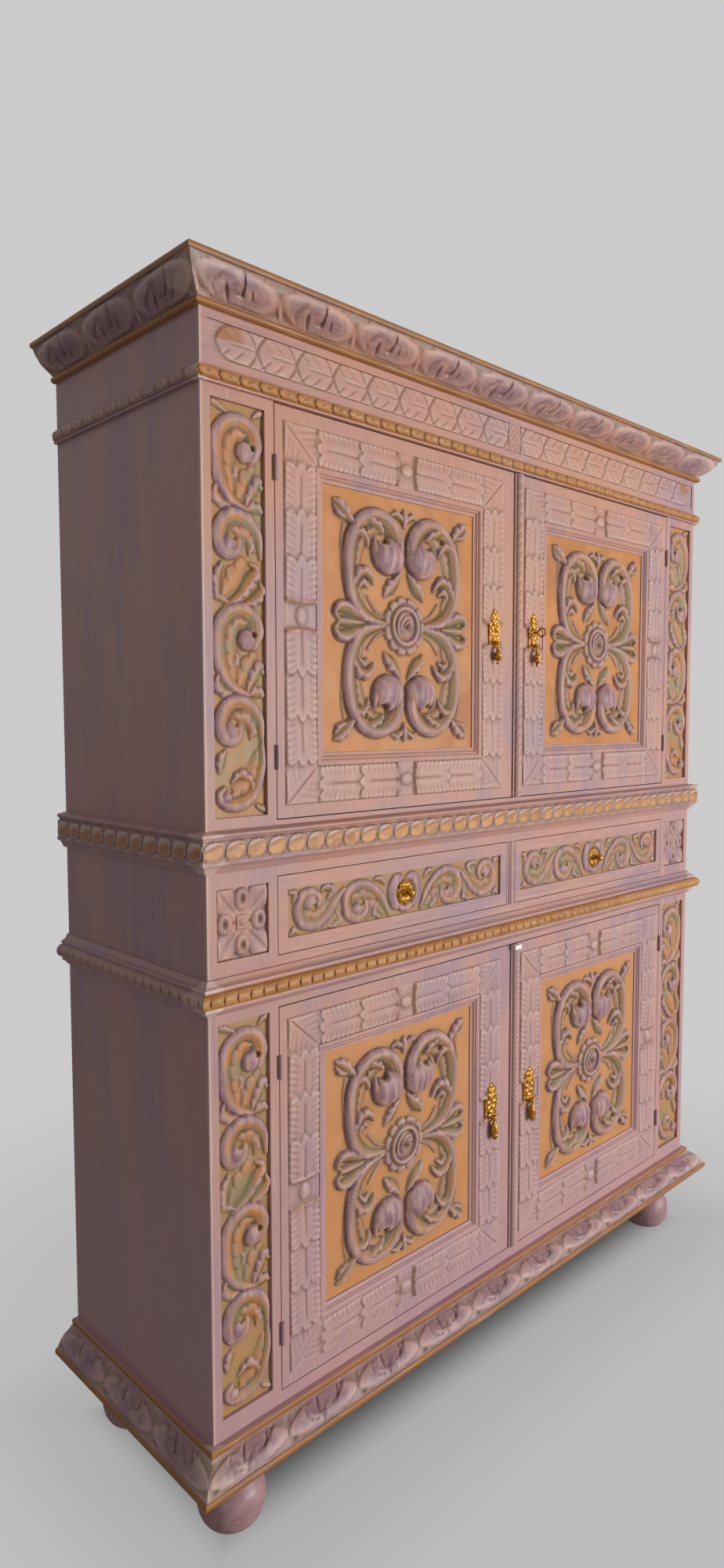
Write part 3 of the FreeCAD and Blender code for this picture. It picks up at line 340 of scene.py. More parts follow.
# a closed skin over a grid of points [u, v]: v always closes on itself, u closes or is capped
def solidGrid(name, points, paint, body, attributes=None, ring=False, sharp=50):
    columns, rows = points.shape[:2]
    index = np.arange(columns * rows).reshape(columns, rows)
    near = index if ring else index[:-1]
    far = np.roll(index, -1, axis=0) if ring else index[1:]
    quads = np.stack([near, far, np.roll(far, -1, axis=1), np.roll(near, -1, axis=1)], -1).reshape(-1, 4)
    caps = [] if ring else [index[0], index[-1][::-1]]
    loops = np.concatenate([quads.ravel(), *caps])
    sizes = np.concatenate([np.full(len(quads), 4), np.array([len(cap) for cap in caps], int)])
    mesh = bpy.data.meshes.new(name)
    mesh.vertices.add(columns * rows)
    mesh.vertices.foreach_set("co", (points.reshape(-1) * mm).astype(np.float32))
    mesh.loops.add(len(loops))
    mesh.loops.foreach_set("vertex_index", loops.astype(np.int32))
    mesh.polygons.add(len(sizes))
    mesh.polygons.foreach_set("loop_start", (np.cumsum(sizes) - sizes).astype(np.int32))
    mesh.polygons.foreach_set("use_smooth", np.ones(len(sizes), bool))
    mesh.update(calc_edges=True)
    mesh.validate()
    mesh.set_sharp_from_angle(angle=math.radians(sharp))
    for title, values in (attributes or {}).items():
        full = np.zeros((columns, rows), np.float32)
        full[:, :values.shape[1]] = values
        mesh.attributes.new(title, "FLOAT", "POINT").data.foreach_set("value", full.ravel())
    piece = bpy.data.objects.new(name, mesh)
    scene.collection.objects.link(piece)
    mesh.materials.append(paint)
    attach(piece, body)
    return piece


# three box blurs in a row along both axes, close to a Gaussian of about the same radius
def blurred(field, radius):
    for axis in (0, 1, 0, 1, 0, 1):
        pad = [(radius + 1, radius) if a == axis else (0, 0) for a in (0, 1)]
        total = np.cumsum(np.pad(field, pad, mode="edge"), axis=axis)
        high = np.take(total, np.arange(2 * radius + 1, total.shape[axis]), axis=axis)
        low = np.take(total, np.arange(0, total.shape[axis] - 2 * radius - 1), axis=axis)
        field = (high - low) / (2 * radius + 1)
    return field


def unit(value):
    return np.clip(value, 0, 1)


# a half circle of radius 1, by the distance from its middle
def halfRound(away):
    return np.sqrt(unit(1 - away ** 2))


# cavity: how far a point lies under its blurred surroundings, where the paint is darkened as a glaze and as
# painted shade; ridge: how far above them, where it is paled as rubbed wear and as painted highlight
def wearShadeAndHighlight(height, radius, depth):
    drop = (blurred(height, radius) - height) / depth
    return {"cavity": unit(drop) ** 0.8, "ridge": unit(-drop * 1.2)}


def smooth(value, low, high):
    part = unit((value - low) / (high - low))
    return part * part * (3 - 2 * part)


def bell(value, width):
    return np.exp(-(value / width) ** 2)


# Catmull-Rom curve through rows of numbers: every column is the same cubic blend of four neighbours
def through(rows, count):
    rows = np.asarray(rows, float)
    rows = np.vstack([2 * rows[0] - rows[1], rows, 2 * rows[-1] - rows[-2]])
    place = np.linspace(0, len(rows) - 3, count)
    span = np.minimum(place.astype(int), len(rows) - 4)
    f = (place - span)[:, None]
    a, b, c, d = (rows[span + k] for k in range(4))
    square, cube = 2 * a - 5 * b + 4 * c - d, 3 * b - a - 3 * c + d
    return 0.5 * (2 * b + (c - a) * f + square * f ** 2 + cube * f ** 3)


strokeShape = {"flutes": (0.68, 0.36, 0.04, -0.28), "fluteWidth": 0.1, "fluteDepth": 0.1, "leafRows": 6,
               "lobePitch": 0.75, "lobeReach": 0.3, "cutDepth": 0.3}


# one carved stroke: 1 less the square of distance over half width, to a power that makes it steep on the
# outer side of its bend and sloping on the inner side, with flutes along it; a stroke of few rows is a leaf
# with lobes on its outer edge; the second result runs from -1 on the bend's inner edge to 1 on its outer edge
def stroke(x, z, rows, count=80):
    cfg = strokeShape
    line = through(rows, count)
    run = np.gradient(line[:, :2], axis=0)
    pace = np.hypot(run[:, 0], run[:, 1])[:, None] + 1e-9
    run /= pace
    bend = np.sign(np.sum(run[:-1, 0] * run[1:, 1] - run[:-1, 1] * run[1:, 0])) or 1.0
    offX, offZ = x[..., None] - line[:, 0], z[..., None] - line[:, 1]
    away = offX ** 2 + offZ ** 2
    k = away.argmin(-1)
    offX, offZ, away = (np.take_along_axis(part, k[..., None], -1)[..., 0] for part in (offX, offZ, away))
    width, high = np.maximum(line[k, 2], 0.5), line[k, 3]
    outer = -bend * (run[k, 0] * offZ - run[k, 1] * offX) / width
    far = np.sqrt(away) / width
    inward = 0.5 - 0.5 * np.clip(outer / (far + 1e-6), -1, 1)
    leaf = 1.0 if len(rows) < cfg["leafRows"] else 0.0
    gone = np.cumsum(pace)[k] / (cfg["lobePitch"] * line[:, 2].max()) - 0.5 * outer
    lobe = np.abs(np.sin(0.5 * np.pi * gone))
    far = far / (1 + leaf * cfg["lobeReach"] * (lobe - 0.7) * smooth(outer, 0.0, 0.6))
    body = unit(1 - (far / (1 + 0.5 * inward)) ** 2) ** (0.5 + 0.6 * inward)
    body *= 0.5 + 0.5 * smooth(outer, -1.0, 0.5)
    lines = sum(bell(outer - flute, cfg["fluteWidth"]) for flute in cfg["flutes"])
    cuts = leaf * (1 - lobe) ** 3 * smooth(outer, -0.2, 0.5)
    fluted = 1 - cfg["fluteDepth"] * lines - cfg["cutDepth"] * cuts
    return high * body * fluted, np.clip(outer, -1, 1)


# an oval cushion: half an ellipsoid
def dome(x, z, radii, high):
    return high * np.sqrt(unit(1 - (x / radii[0]) ** 2 - (z / radii[1]) ** 2))


# webs, strokes and cushions laid over each other, the highest shows; eyes are drilled into them; the outer
# value, which picks the paint, drops on each cushion's upper flanks and in the eyes, a painted shade there
def carve(x, z, cfg):
    height, outer = np.zeros_like(x), np.zeros_like(x)
    for rows in cfg["webs"] + cfg["strokes"]:
        part, side = stroke(x, z, rows)
        side = 0.4 * side - 0.3 if rows in cfg["webs"] else side
        outer = np.where(part > height, side, outer)
        height = np.maximum(height, part)
    for a, b, wide, tall, high in cfg["balls"]:
        part = dome(x - a, z - b, (wide, tall), high)
        # a cushion's upper flanks take the darker hollow paint, a painted shade
        outer = np.where(part > height, 0.75 - 0.9 * ((x - a) / wide) ** 2 * ((z - b) / tall > 0), outer)
        height = np.maximum(height, part)
    for a, b, radius, depth in cfg["eyes"]:
        pit = np.exp(-(np.hypot(x - a, z - b) / radius) ** 4)
        # the eyes take the darkest paint, a painted shade in them
        height, outer = height - depth * pit, outer - 1.2 * pit
    return np.clip(height, 0, None), np.clip(outer, -1, 1)


# relief tells paint from ground; the cut line round each form is dark, a painted shadow along each form's
# foot, and hollows in the relief take painted shade
def scrollLooks(height, outer, radius, depth, crest):
    looks = wearShadeAndHighlight(height, radius, depth)
    looks["relief"] = smooth(height, 0.3, 2.0)
    spread = blurred(looks["relief"], 1)
    # rim: a thin band on the ground at the foot of each form, painted dark as a shadow
    rim = smooth(spread, 0.08, 0.4) * (1 - smooth(spread, 0.5, 0.85))
    looks["cavity"] = np.maximum(looks["cavity"] * (0.2 + 0.8 * looks["relief"]), 0.4 * rim)
    looks["sage"] = smooth(blurred(looks["relief"], 6), 0.04, 0.7) * (1 - looks["relief"])
    looks["outer"] = (outer + 1) / 2
    looks["gold"] = bell(height - crest, 0.08 * crest) * 0.4
    return looks


# steep steps are averaged with their neighbours, 1-2-1 both ways, so that edges don't run in teeth
def eased(height):
    wide = np.pad(height, 1, mode="edge")
    wide = (wide[:-2] + 2 * wide[1:-1] + wide[2:]) / 4
    soft = (wide[:, :-2] + 2 * wide[:, 1:-1] + wide[:, 2:]) / 4
    return height + (soft - height) * smooth(np.abs(soft - height), 0.4, 1.4)


# a grid of front points with a flat back: two more rows under its edges, at one depth
def backed(front, back):
    rear = front[:, [-1, 0]]
    rear[..., 1] = back
    return np.concatenate([front, rear], 1)


# a carved slab in an upright plane: grid over x and z, front at ground minus height, flat back
def reliefSlab(name, x, z, height, cfg, paint, body, attributes):
    points = backed(np.stack([x, cfg["ground"] - height, z], -1), cfg["back"])
    return solidGrid(name, points, paint, body, attributes, sharp=70)


def gridOver(low, high, step):
    counts = [max(2, int(round((b - a) / step)) + 1) for a, b in zip(low, high)]
    return np.meshgrid(*[np.linspace(a, b, n) for a, b, n in zip(low, high, counts)], indexing="ij")


def nodeBox(name):
    low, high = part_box(name)
    return np.array(low) / mm, np.array(high) / mm


# door panels: a rosette and four mirrored quarters of scrolls and leaves; rows are (out, up, half width,
# height) in mm, balls are (out, up, half width, half height, height), eyes are (out, up, radius, depth)
panelCarving = {
    "step": 1.75, "reach": (192.5, 221.5), "ground": -194.2, "back": -193.4, "lowered": 1.05,
    "wear": {"radius": 2, "depth": 1.9, "crest": 12},
    "strokes": [
        [(48, 3, 4, 6), (78, 7, 8, 8), (105, 17, 12, 10), (125, 40, 14.5, 11.5), (134, 72, 15, 12),
         (136, 108, 15, 12.5), (129, 143, 15, 12.5), (110, 170, 15, 12.5), (83, 184, 15, 13),
         (54, 183, 15, 13.5), (31, 167, 16, 14), (22, 143, 19, 14.5), (31, 120, 24, 15.5),
         (49, 113, 24, 15.5), (66, 122, 17, 14), (75, 136, 9, 11), (74, 147, 3, 8)],
        [(140, 108, 5, 8), (133, 136, 10.5, 11), (118, 153, 12, 12), (101, 149, 9, 11.5), (91, 133, 3.5, 8)],
        [(130, 40, 5, 8), (125, 68, 11, 11), (110, 86, 12, 12), (92, 86, 9, 11.5), (78, 71, 3.5, 8)],
        [(116, 58, 4, 8), (105, 69, 7.5, 10), (93, 63, 3.5, 7)],
        [(108, 180, 5, 9), (86, 176, 10, 13), (66, 168, 9, 13), (55, 154, 3, 9)],
        [(126, 164, 5, 8), (141, 181, 10.5, 10), (156, 193, 11, 10), (169, 200, 4, 7)],
        [(146, 174, 4, 7), (161, 181, 7, 9), (169, 191, 3, 6)],
        [(147, 166, 2, 3.5), (152, 138, 2.2, 3.5), (152, 104, 1.5, 2.5)],
        [(96, 6, 4, 7), (118, 14, 9.5, 9.5), (140, 24, 11, 10.5), (159, 24, 9, 10.5), (168, 13, 5.5, 9),
         (159, 5, 3, 6)],
        [(106, 0, 4, 7), (134, 0, 8.5, 9), (156, 0, 7, 9)],
        [(0, 178, 5, 8), (0, 193, 8.5, 10), (0, 204, 4, 7)],
        [(7, 189, 5, 8), (20, 197, 6.5, 8.5), (32, 193, 3, 5)],
        [(12, 92, 4, 7), (24, 78, 9.5, 9), (38, 66, 11.5, 9.5), (49, 53, 5, 7)],
        [(50, 13, 2, 4.5), (72, 24, 2.6, 5), (91, 45, 2.6, 5)],
    ],
    "webs": [
        [(116, 78, 4, 4), (114, 110, 8, 5), (104, 140, 10, 5.5), (80, 160, 9, 6), (54, 158, 5, 5)],
        [(104, 40, 4, 4), (112, 62, 7, 5), (104, 80, 6, 5), (90, 86, 3, 4)],
    ],
    "balls": [(42, 120, 40, 33, 19.5)],
    "eyes": [(56, 148, 9, 14), (98, 160, 5, 4), (88, 96, 5, 4)],
}


# rim and bud as (radius or shift, half width, height), folds as (shift, radius, half width, lean, height)
rosetteShape = {"edge": 47, "scallop": 6.5, "rim": (32, 6, 10), "bud": (9, 6, 13),
                "folds": ((2, 23, 6, 2.6, 11), (5, 16, 5.5, 2.0, 12), (8, 9, 5, 1.5, 13))}


# the rosette: a ruffled disc with eleven scallops, a raised cup rim, crescent folds in the cup and a bud
def rosette(x, z):
    cfg = rosetteShape
    turn, away = np.arctan2(z, x), np.hypot(x, z)
    scallop = np.abs(np.cos(5.5 * turn + 0.3 * np.sin(3 * turn)))
    edge = cfg["edge"] + cfg["scallop"] * np.sqrt(scallop)
    disc = unit(1 - (away / edge) ** 8) ** 0.5 * (5 + 3.5 * smooth(away, 36, 48))
    disc -= 2.2 * bell(scallop, 0.2) * smooth(away, 36, 46) * (away < edge)
    radius, wide, rise = cfg["rim"]
    high = np.maximum(disc, rise * halfRound((away - radius) / wide))
    for shift, radius, wide, lean, rise in cfg["folds"]:
        ring = np.hypot(x - shift, z)
        sweep = 0.55 + 0.45 * np.cos(np.arctan2(z, x - shift) - lean)
        high = np.maximum(high, rise * sweep * halfRound((ring - radius) / wide))
    shift, wide, rise = cfg["bud"]
    return np.maximum(high, dome(x - shift, z, (wide, wide), rise))


def doorPanel():
    cfg = panelCarving
    x, z = gridOver([-r for r in cfg["reach"]], cfg["reach"], cfg["step"])
    height, outer = carve(np.abs(x), np.abs(z), cfg)
    flower = rosette(x, z)
    outer = np.where(flower > height, 0.2 + 0.3 * np.cos(0.45 * np.hypot(x, z)), outer)
    height = eased(np.maximum(height, flower) * cfg["lowered"])
    return x, z, height, scrollLooks(height, outer, **cfg["wear"])


panelGrid = doorPanel()
doorNames = ["upper_left_door", "upper_right_door", "lower_left_door", "lower_right_door"]
for door in doorNames:
    low, high = nodeBox(f"{door}_panel")
    x, z, height, looks = panelGrid
    middle = (low + high) / 2
    reliefSlab(f"{door}_carving", x + middle[0], z + middle[2], height, panelCarving,
               paints["panel"], door, looks)
print("door panels carved")


# leaf bands round each panel: lapped leaves run from a tie in the middle of each side to the corners
leafBand = {"stepAlong": 2.2, "rows": 36, "pitch": 78.0, "tie": 23.0, "notch": 10.5, "rise": 2.3,
            "finger": 11.5, "bow": 17.0, "boss": (15, 11.5),
            "outside": {"hinge": 16, "meeting": 34, "foot": 20, "head": 22}}


# along is measured from the tie, across from the band's middle, both in mm; half is half the band's width.
# Each leaf ends in a middle lobe and two side lobes over the next one, a slit runs down its middle, and
# fingers leave the slit and bend outward until they meet the edge squarely
def leafRelief(along, across, half, length):
    cfg = leafBand
    side = np.abs(across)
    share = unit((side - cfg["notch"]) / (half - cfg["notch"]))
    tip = np.where(side < cfg["notch"], 13 * (1 - (side / cfg["notch"]) ** 2), 9 * np.sin(2.7 * share ** 0.8))
    count = max(1, round((length - cfg["tie"]) / cfg["pitch"]))
    pitch = (length - cfg["tie"]) / count
    place = (np.abs(along) - cfg["tie"] - tip + 10) / pitch
    part = (place - np.floor(place)) * pitch
    lap = cfg["rise"] * (part / pitch) ** 0.7 * (1 - smooth(part, pitch - 2.2, pitch))
    vein = (np.abs(along) - cfg["bow"] * (1 - (1 - side / half) ** 2)) / cfg["finger"]
    fold = np.abs(vein - np.round(vein)) * 2
    bulge = halfRound(1 - fold)
    fingers = (1.5 * bulge - 1.5) * smooth(side, 7, half * 0.75)
    slit = -1.7 * bell(across, 1.5) * (1 - smooth(part, 0.6 * pitch, 0.78 * pitch))
    swell = 1.3 * halfRound(side / (half + 6))
    edge = smooth(half - 3.0 * (1 - bulge) - side, -0.4, 1.6)
    leaf = (1.7 + lap + fingers + slit + swell) * edge
    inTie = 1 - smooth(np.abs(along), cfg["tie"] - 3, cfg["tie"] + 1)
    bars = 3.4 * bell(np.abs(along) - cfg["tie"] + 2 - 0.005 * across ** 2, 3.2) * edge
    boss = dome(along, across, cfg["boss"], 4.4)
    knots = 0.7 * np.cos(along * 0.9) * np.cos(across * 0.55) * (boss > 0)
    tie = np.maximum(bars, boss + knots + 0.8 * edge)
    return leaf * (1 - inTie) + tie * inTie + bars * (1 - inTie), bars


# the corner leaf lies on the diagonal: a groove along it and flutes that spread to both sides
def cornerRelief(first, second):
    along, aside = (first + second) / math.sqrt(2), (first - second) / math.sqrt(2)
    leaf = 1.4 + 2.0 * halfRound(aside / 44) - 1.3 * bell(aside, 1.6)
    vein = (along + 0.7 * np.abs(aside)) / 13
    return leaf - 0.6 * (0.5 + 0.5 * np.cos(2 * np.pi * vein)) ** 3 * smooth(np.abs(aside), 4, 16)


# four corners as (x, z), from the lower left one round
def rectangle(left, bottom, right, top):
    return np.array([[left, bottom], [right, bottom], [right, top], [left, top]])


# the band is a ring: each side is a mitred strip between the outer and inner rectangle
def doorBand(door):
    cfg = leafBand
    low, high = nodeBox(f"{door}_frame")
    inLow, inHigh = nodeBox(f"{door}_panel")
    inLow, inHigh = inLow + 7, inHigh - 7  # the panel's tongues stand in the grooves
    gaps = cfg["outside"]
    left, right = ("hinge", "meeting") if "left" in door else ("meeting", "hinge")
    outer = rectangle(low[0] + gaps[left], low[2] + gaps["foot"],
                      high[0] - gaps[right], high[2] - gaps["head"])
    inner = rectangle(inLow[0], inLow[2], inHigh[0], inHigh[2])
    across = np.linspace(0, 1, cfg["rows"])
    columns, heights, golds = [], [], []
    for k in range(4):
        outA, outB, inA, inB = outer[k], outer[(k + 1) % 4], inner[k], inner[(k + 1) % 4]
        count = int(np.hypot(*(outB - outA)) / cfg["stepAlong"])
        t = np.arange(count)[:, None, None] / count
        edge = outA + (outB - outA) * t
        lip = inA + (inB - inA) * t
        spots = edge + (lip - edge) * across[None, :, None]
        run = (outB - outA) / np.hypot(*(outB - outA))
        aside = np.array([-run[1], run[0]])
        width = float((inA - outA) @ aside)
        middle = (inA + inB) / 2
        length = np.hypot(*(inB - inA)) / 2
        along = (spots - middle) @ run
        over = (spots - outA) @ aside
        leaf, bars = leafRelief(along, over - width / 2, width / 2, length)
        startGap, endGap = (inA - outA) @ run, (outB - inB) @ run
        beyond = np.abs(along) - length
        gap = np.where(along < 0, startGap, endGap)
        corner = cornerRelief(beyond * width / np.maximum(gap, 1), width - over)
        inCorner = smooth(beyond, -1.0, 1.0)
        heights.append(leaf * (1 - inCorner) + corner * inCorner)
        golds.append(bars / 3.4 * (1 - inCorner) * 0.3)
        columns.append(spots)
    spots, height = np.concatenate(columns), np.concatenate(heights)
    height = np.maximum(height * (smooth(np.minimum(across, 1 - across), 0.0, 0.04) * 0.9 + 0.1), 0.12)
    face = low[1]
    front = np.stack([spots[..., 0], face - height, spots[..., 1]], -1)
    looks = wearShadeAndHighlight(height, 2, 1.3)
    looks["cavity"] *= smooth(height, 0.1, 1.0) * 0.75 + 0.25
    looks["gold"] = np.concatenate(golds)
    points = backed(front, face + 0.6)
    solidGrid(f"{door}_leaf_band", points, paints["carvedUpright"], door, looks, ring=True)


for door in doorNames:
    doorBand(door)
print("leaf bands carved")


# pilasters: two turns of running scroll and a closing curl, rows are (from left, from top, half width,
# height)
pilaster = {
    "step": 1.5, "period": 284, "ground": -195.3, "back": -194.4, "lowered": 0.85, "tall": 628,
    "half": 50.2, "wear": {"radius": 2, "depth": 1.6, "crest": 8},
    "levels": {"upper": (1188.4, 1815.6), "lower": (228.4, 866.6)},
    "turn": {
        "strokes": [
            [(67, 154, 4, 6), (39, 141, 10, 8), (19, 114, 13, 9), (13, 83, 13.5, 9.5), (15, 52, 13.5, 9.5),
             (31, 31, 13, 10), (55, 25, 13, 10.5), (76, 35, 14, 11), (84, 56, 15, 11.5), (78, 74, 12, 10)],
            [(94, 226, 4, 6), (88, 194, 10, 8), (69, 173, 13, 9), (44, 166, 13, 10), (24, 177, 13.5, 10.5),
             (16, 198, 15, 11.5), (26, 217, 17, 12), (42, 217, 14, 11), (50, 206, 8, 8)],
            [(66, 150, 4, 6), (76, 128, 9.5, 8.5), (88, 112, 11, 9), (96, 118, 5, 6)],
            [(68, 155, 4, 6), (84, 149, 10, 9), (96, 154, 5, 6)],
            [(34, 152, 4, 6), (18, 149, 10, 9), (9, 138, 9, 9), (12, 126, 3, 6)],
            [(38, 112, 3, 5), (45, 100, 8, 7), (40, 88, 3, 5)],
            [(62, 196, 3, 5), (74, 206, 9, 8), (72, 222, 3, 5)],
            [(8, 5, 6, 6), (20, 10, 5, 6), (32, 16, 3, 5)],
            [(95, 5, 6, 6), (88, 9, 5, 6), (82, 14, 3, 5)],
        ],
        "webs": [
            [(40, 134, 5, 5), (36, 104, 13, 6), (34, 70, 14, 6.5), (46, 46, 11, 6), (64, 44, 5, 5)],
            [(80, 214, 5, 5), (66, 194, 13, 6), (48, 188, 9, 5.5)],
            [(50, 140, 8, 4), (66, 112, 15, 5), (78, 94, 9, 4)],
        ],
        "balls": [(64, 70, 18, 17, 13), (31, 212, 18, 16, 12.5)],
        "eyes": [(77, 62, 4.5, 7), (41, 199, 5.5, 9)],
    },
    "link": {
        "strokes": [
            [(26, 304, 4, 6), (52, 288, 8, 8), (74, 262, 11, 10), (84, 246, 9, 10), (73, 236, 3, 6)],
            [(56, 302, 3, 6), (80, 293, 9, 8), (95, 278, 8, 9), (93, 264, 3, 6)],
            [(10, 290, 6, 7), (9, 264, 9.5, 9), (19, 243, 5, 7)],
        ],
        "webs": [[(20, 290, 5, 4), (40, 262, 16, 5), (56, 240, 12, 4)]],
        "balls": [],
        "eyes": [],
    },
    "end": {
        "strokes": [
            [(94, 512, 4, 6), (92, 550, 9, 8), (77, 590, 11.5, 9), (52, 607, 12, 9.5), (27, 606, 12, 10),
             (13, 594, 10, 10), (20, 584, 5, 8)],
            [(36, 572, 4, 6), (52, 562, 9, 9), (70, 574, 8, 8.5), (72, 588, 3, 6)],
            [(12, 556, 4, 6), (13, 540, 9, 8.5), (22, 526, 4, 6)],
            [(95, 619, 6, 6), (84, 613, 4, 5)],
        ],
        "webs": [[(84, 530, 5, 4), (72, 562, 13, 5), (48, 584, 14, 5), (30, 592, 6, 4)]],
        "balls": [(22, 597, 12, 11, 11)],
        "eyes": [(32, 588, 4, 5)],
    },
}


def pilasterRelief(name, centreX, bottom, top, flip):
    cfg = pilaster
    half = cfg["half"]
    x, z = gridOver((-half, bottom), (half, top), cfg["step"])
    fromLeft, fromTop = flip * x + half, (top - z) * cfg["tall"] / (top - bottom)
    height, outer = np.zeros_like(x), np.zeros_like(x)
    for turn, down in (("turn", 0), ("link", 0), ("turn", cfg["period"]), ("end", 0)):
        part, side = carve(fromLeft, fromTop - down, cfg[turn])
        outer = np.where(part > height, side, outer)
        height = np.maximum(height, part)
    height = eased(height * cfg["lowered"])
    reliefSlab(name, x + centreX, z, height, cfg, paints["scroll"], "cabinet",
               scrollLooks(height, outer, **cfg["wear"]))


caseLines = {"half": 752.0, "front": -202.0, "back": 250.0, "post": 137.0}
postMiddle = caseLines["half"] - caseLines["post"] / 2
sides = {"left": -1, "right": 1}
for level, (bottom, top) in pilaster["levels"].items():
    for side, sign in sides.items():
        pilasterRelief(f"{level}_{side}_pilaster_scroll", sign * postMiddle, bottom, top, -sign)
print("pilasters carved")


# drawer fronts: running scrolls mirrored about an apple-shaped cushion, rows as on the door panels
drawerCarving = {
    "step": 1.4, "ground": -197.2, "back": -196.6, "half": (278, 39.6), "lowered": 0.75,
    "wear": {"radius": 2, "depth": 1.3, "crest": 6},
    "strokes": [
        [(42, -34, 4, 5), (53, -16, 7.5, 6.5), (67, 3, 9.5, 7.5), (90, 20, 11, 8), (117, 26, 11.5, 8),
         (140, 17, 12, 8.5), (148, -2, 12.5, 9), (138, -21, 13, 9.5), (119, -26, 13, 9.5),
         (104, -17, 11, 8.5), (102, -6, 7, 7)],
        [(152, 26, 4, 5), (174, 7, 8.5, 6.5), (193, -14, 10.5, 7.5), (220, -26, 11.5, 8), (247, -18, 12, 8.5),
         (255, 3, 12.5, 9), (245, 21, 13, 9.5), (228, 25, 12.5, 9.5), (214, 16, 10.5, 8.5), (215, 4, 6, 7)],
        [(190, 14, 3, 5), (180, 28, 7.5, 7), (196, 34, 6, 6.5), (204, 28, 3, 5)],
        [(70, -10, 3, 5), (79, -24, 8, 7), (70, -34, 5, 6)],
        [(172, -10, 3, 5), (166, -26, 8, 7), (180, -35, 5, 6), (190, -34, 2, 4)],
        [(272, 34, 4, 5), (262, 30, 7, 6), (266, 18, 3, 5)],
        [(272, -35, 4, 5), (264, -31, 7, 6), (256, -36, 2, 4)],
        [(52, 22, 3, 5), (63, 32, 6.5, 6), (78, 33, 3, 5)],
    ],
    "webs": [
        [(80, 0, 5, 4), (104, 9, 12, 5), (126, 6, 11, 5)],
        [(192, 4, 5, 4), (214, -10, 12, 5), (236, -6, 11, 5)],
        [(58, -30, 5, 3), (84, -14, 12, 4), (94, -30, 8, 3)],
        [(158, 6, 5, 3), (168, -16, 12, 4), (196, -34, 8, 3)],
    ],
    "balls": [(120, -16, 18, 14, 9.5), (231, 14, 17, 14, 9.5)],
    "eyes": [(112, -3, 6, 8), (222, 2, 6, 8)],
}


def drawerRelief(side):
    cfg = drawerCarving
    low, high = nodeBox(f"{side}_drawer_front")
    middle = (low + high) / 2
    x, z = gridOver([-h for h in cfg["half"]], cfg["half"], cfg["step"])
    height, outer = carve(np.abs(x), z, cfg)
    apple = np.minimum(np.hypot((np.abs(x) - 19) / 27, (z - 3) / 34), np.hypot(x / 30, (z + 8) / 29))
    cushion = 8 * unit(1 - apple ** 4) ** 0.5 - 7.5 * smooth(29 - np.hypot(x, z), 0, 8)
    height = eased(np.where(apple < 1.05, np.clip(cushion, 0, None), height) * cfg["lowered"])
    outer = np.where(apple < 1.05, 0.75 - 0.5 * bell(np.hypot(x, z), 22), outer)
    reliefSlab(f"{side}_drawer_carving", x + middle[0], z + middle[2], height, cfg,
               paints["drawer"], f"{side}_drawer", scrollLooks(height, outer, **cfg["wear"]))


for side in sides:
    drawerRelief(side)
print("drawer fronts carved")


# square flower beside the drawers: four ring petals round almond eyes, folded corner leaves and a square boss
pateraCarving = {"step": 1.2, "half": (50.2, 56.2), "ground": -195.2, "back": -194.6, "eye": (5, 8.5),
                 "eyeAt": (34, 37), "petal": (16, 19), "petalAt": (33, 36), "boss": 12.5}


# ovals on both axes: how far a point lies from the middle of each, 1 on its edge
def flowerOvals(out, up, middles, halves):
    beside = np.hypot((out - middles[0]) / halves[0], up / halves[1])
    above = np.hypot(out / halves[0], (up - middles[1]) / halves[1])
    return [beside, above]


def squareFlower(side, sign):
    cfg = pateraCarving
    x, z = gridOver([-h for h in cfg["half"]], cfg["half"], cfg["step"])
    low, high = nodeBox("paterae")
    level = (low[2] + high[2]) / 2
    out, up = np.abs(x), np.abs(z)
    along, aside = 0.67 * out + 0.74 * up, np.abs(0.74 * out - 0.67 * up)
    spread = unit(1 - (aside / (8 + 0.3 * along)) ** 4)
    corner = (2.4 + 3.8 * smooth(along, 26, 68)) * np.sqrt(spread)
    corner = corner - 1.5 * bell(aside, 3) * smooth(along, 14, 28)
    petals = flowerOvals(out, up, cfg["petalAt"], cfg["petal"])
    eyes = flowerOvals(out, up, cfg["eyeAt"], cfg["eye"])
    ring = np.maximum.reduce([6.8 * np.sqrt(unit(1 - petal ** 2.6)) for petal in petals])
    pit = np.maximum.reduce([bell(eye, 0.85) for eye in eyes])
    square = np.maximum(out, up)
    boss = 6.5 * unit(1 - (square / cfg["boss"]) ** 6) - 1.6 * bell(square - 7, 1.6)
    boss = boss + 1.2 * bell(np.hypot(x, z), 4)
    height = np.maximum(np.maximum(corner, ring), boss * (square < 13)) - 6.0 * pit
    border = smooth(np.minimum(cfg["half"][0] - out, cfg["half"][1] - up), 0.5, 3)
    height = np.clip(height, 0.2, None) * (0.3 + 0.7 * border)
    looks = wearShadeAndHighlight(height, 2, 2.4)
    # the drilled eyes are painted dark, as shade in them
    looks["cavity"] = np.maximum(looks["cavity"], unit(pit * 1.1))
    looks["sage"] = 0.5 * pit + 0.3 * smooth(2.0 - height, 0, 2)
    looks["gold"] = 0.3 * bell(np.hypot(x, z), 7) + 0.16 * smooth(ring, 4, 6)
    looks["plum"] = 0.5 * smooth(along, 10, 40) * (1 - smooth(along, 40, 60))
    looks["ridge"] = np.maximum(looks["ridge"], 1 - border)
    return reliefSlab(f"{side}_square_flower", x + sign * postMiddle, z + level, height, cfg,
                      paints["carvedUpright"], "cabinet", looks)


flowers = [squareFlower(side, sign) for side, sign in sides.items()]
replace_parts(flowers[0], "paterae")
print("square flowers carved")


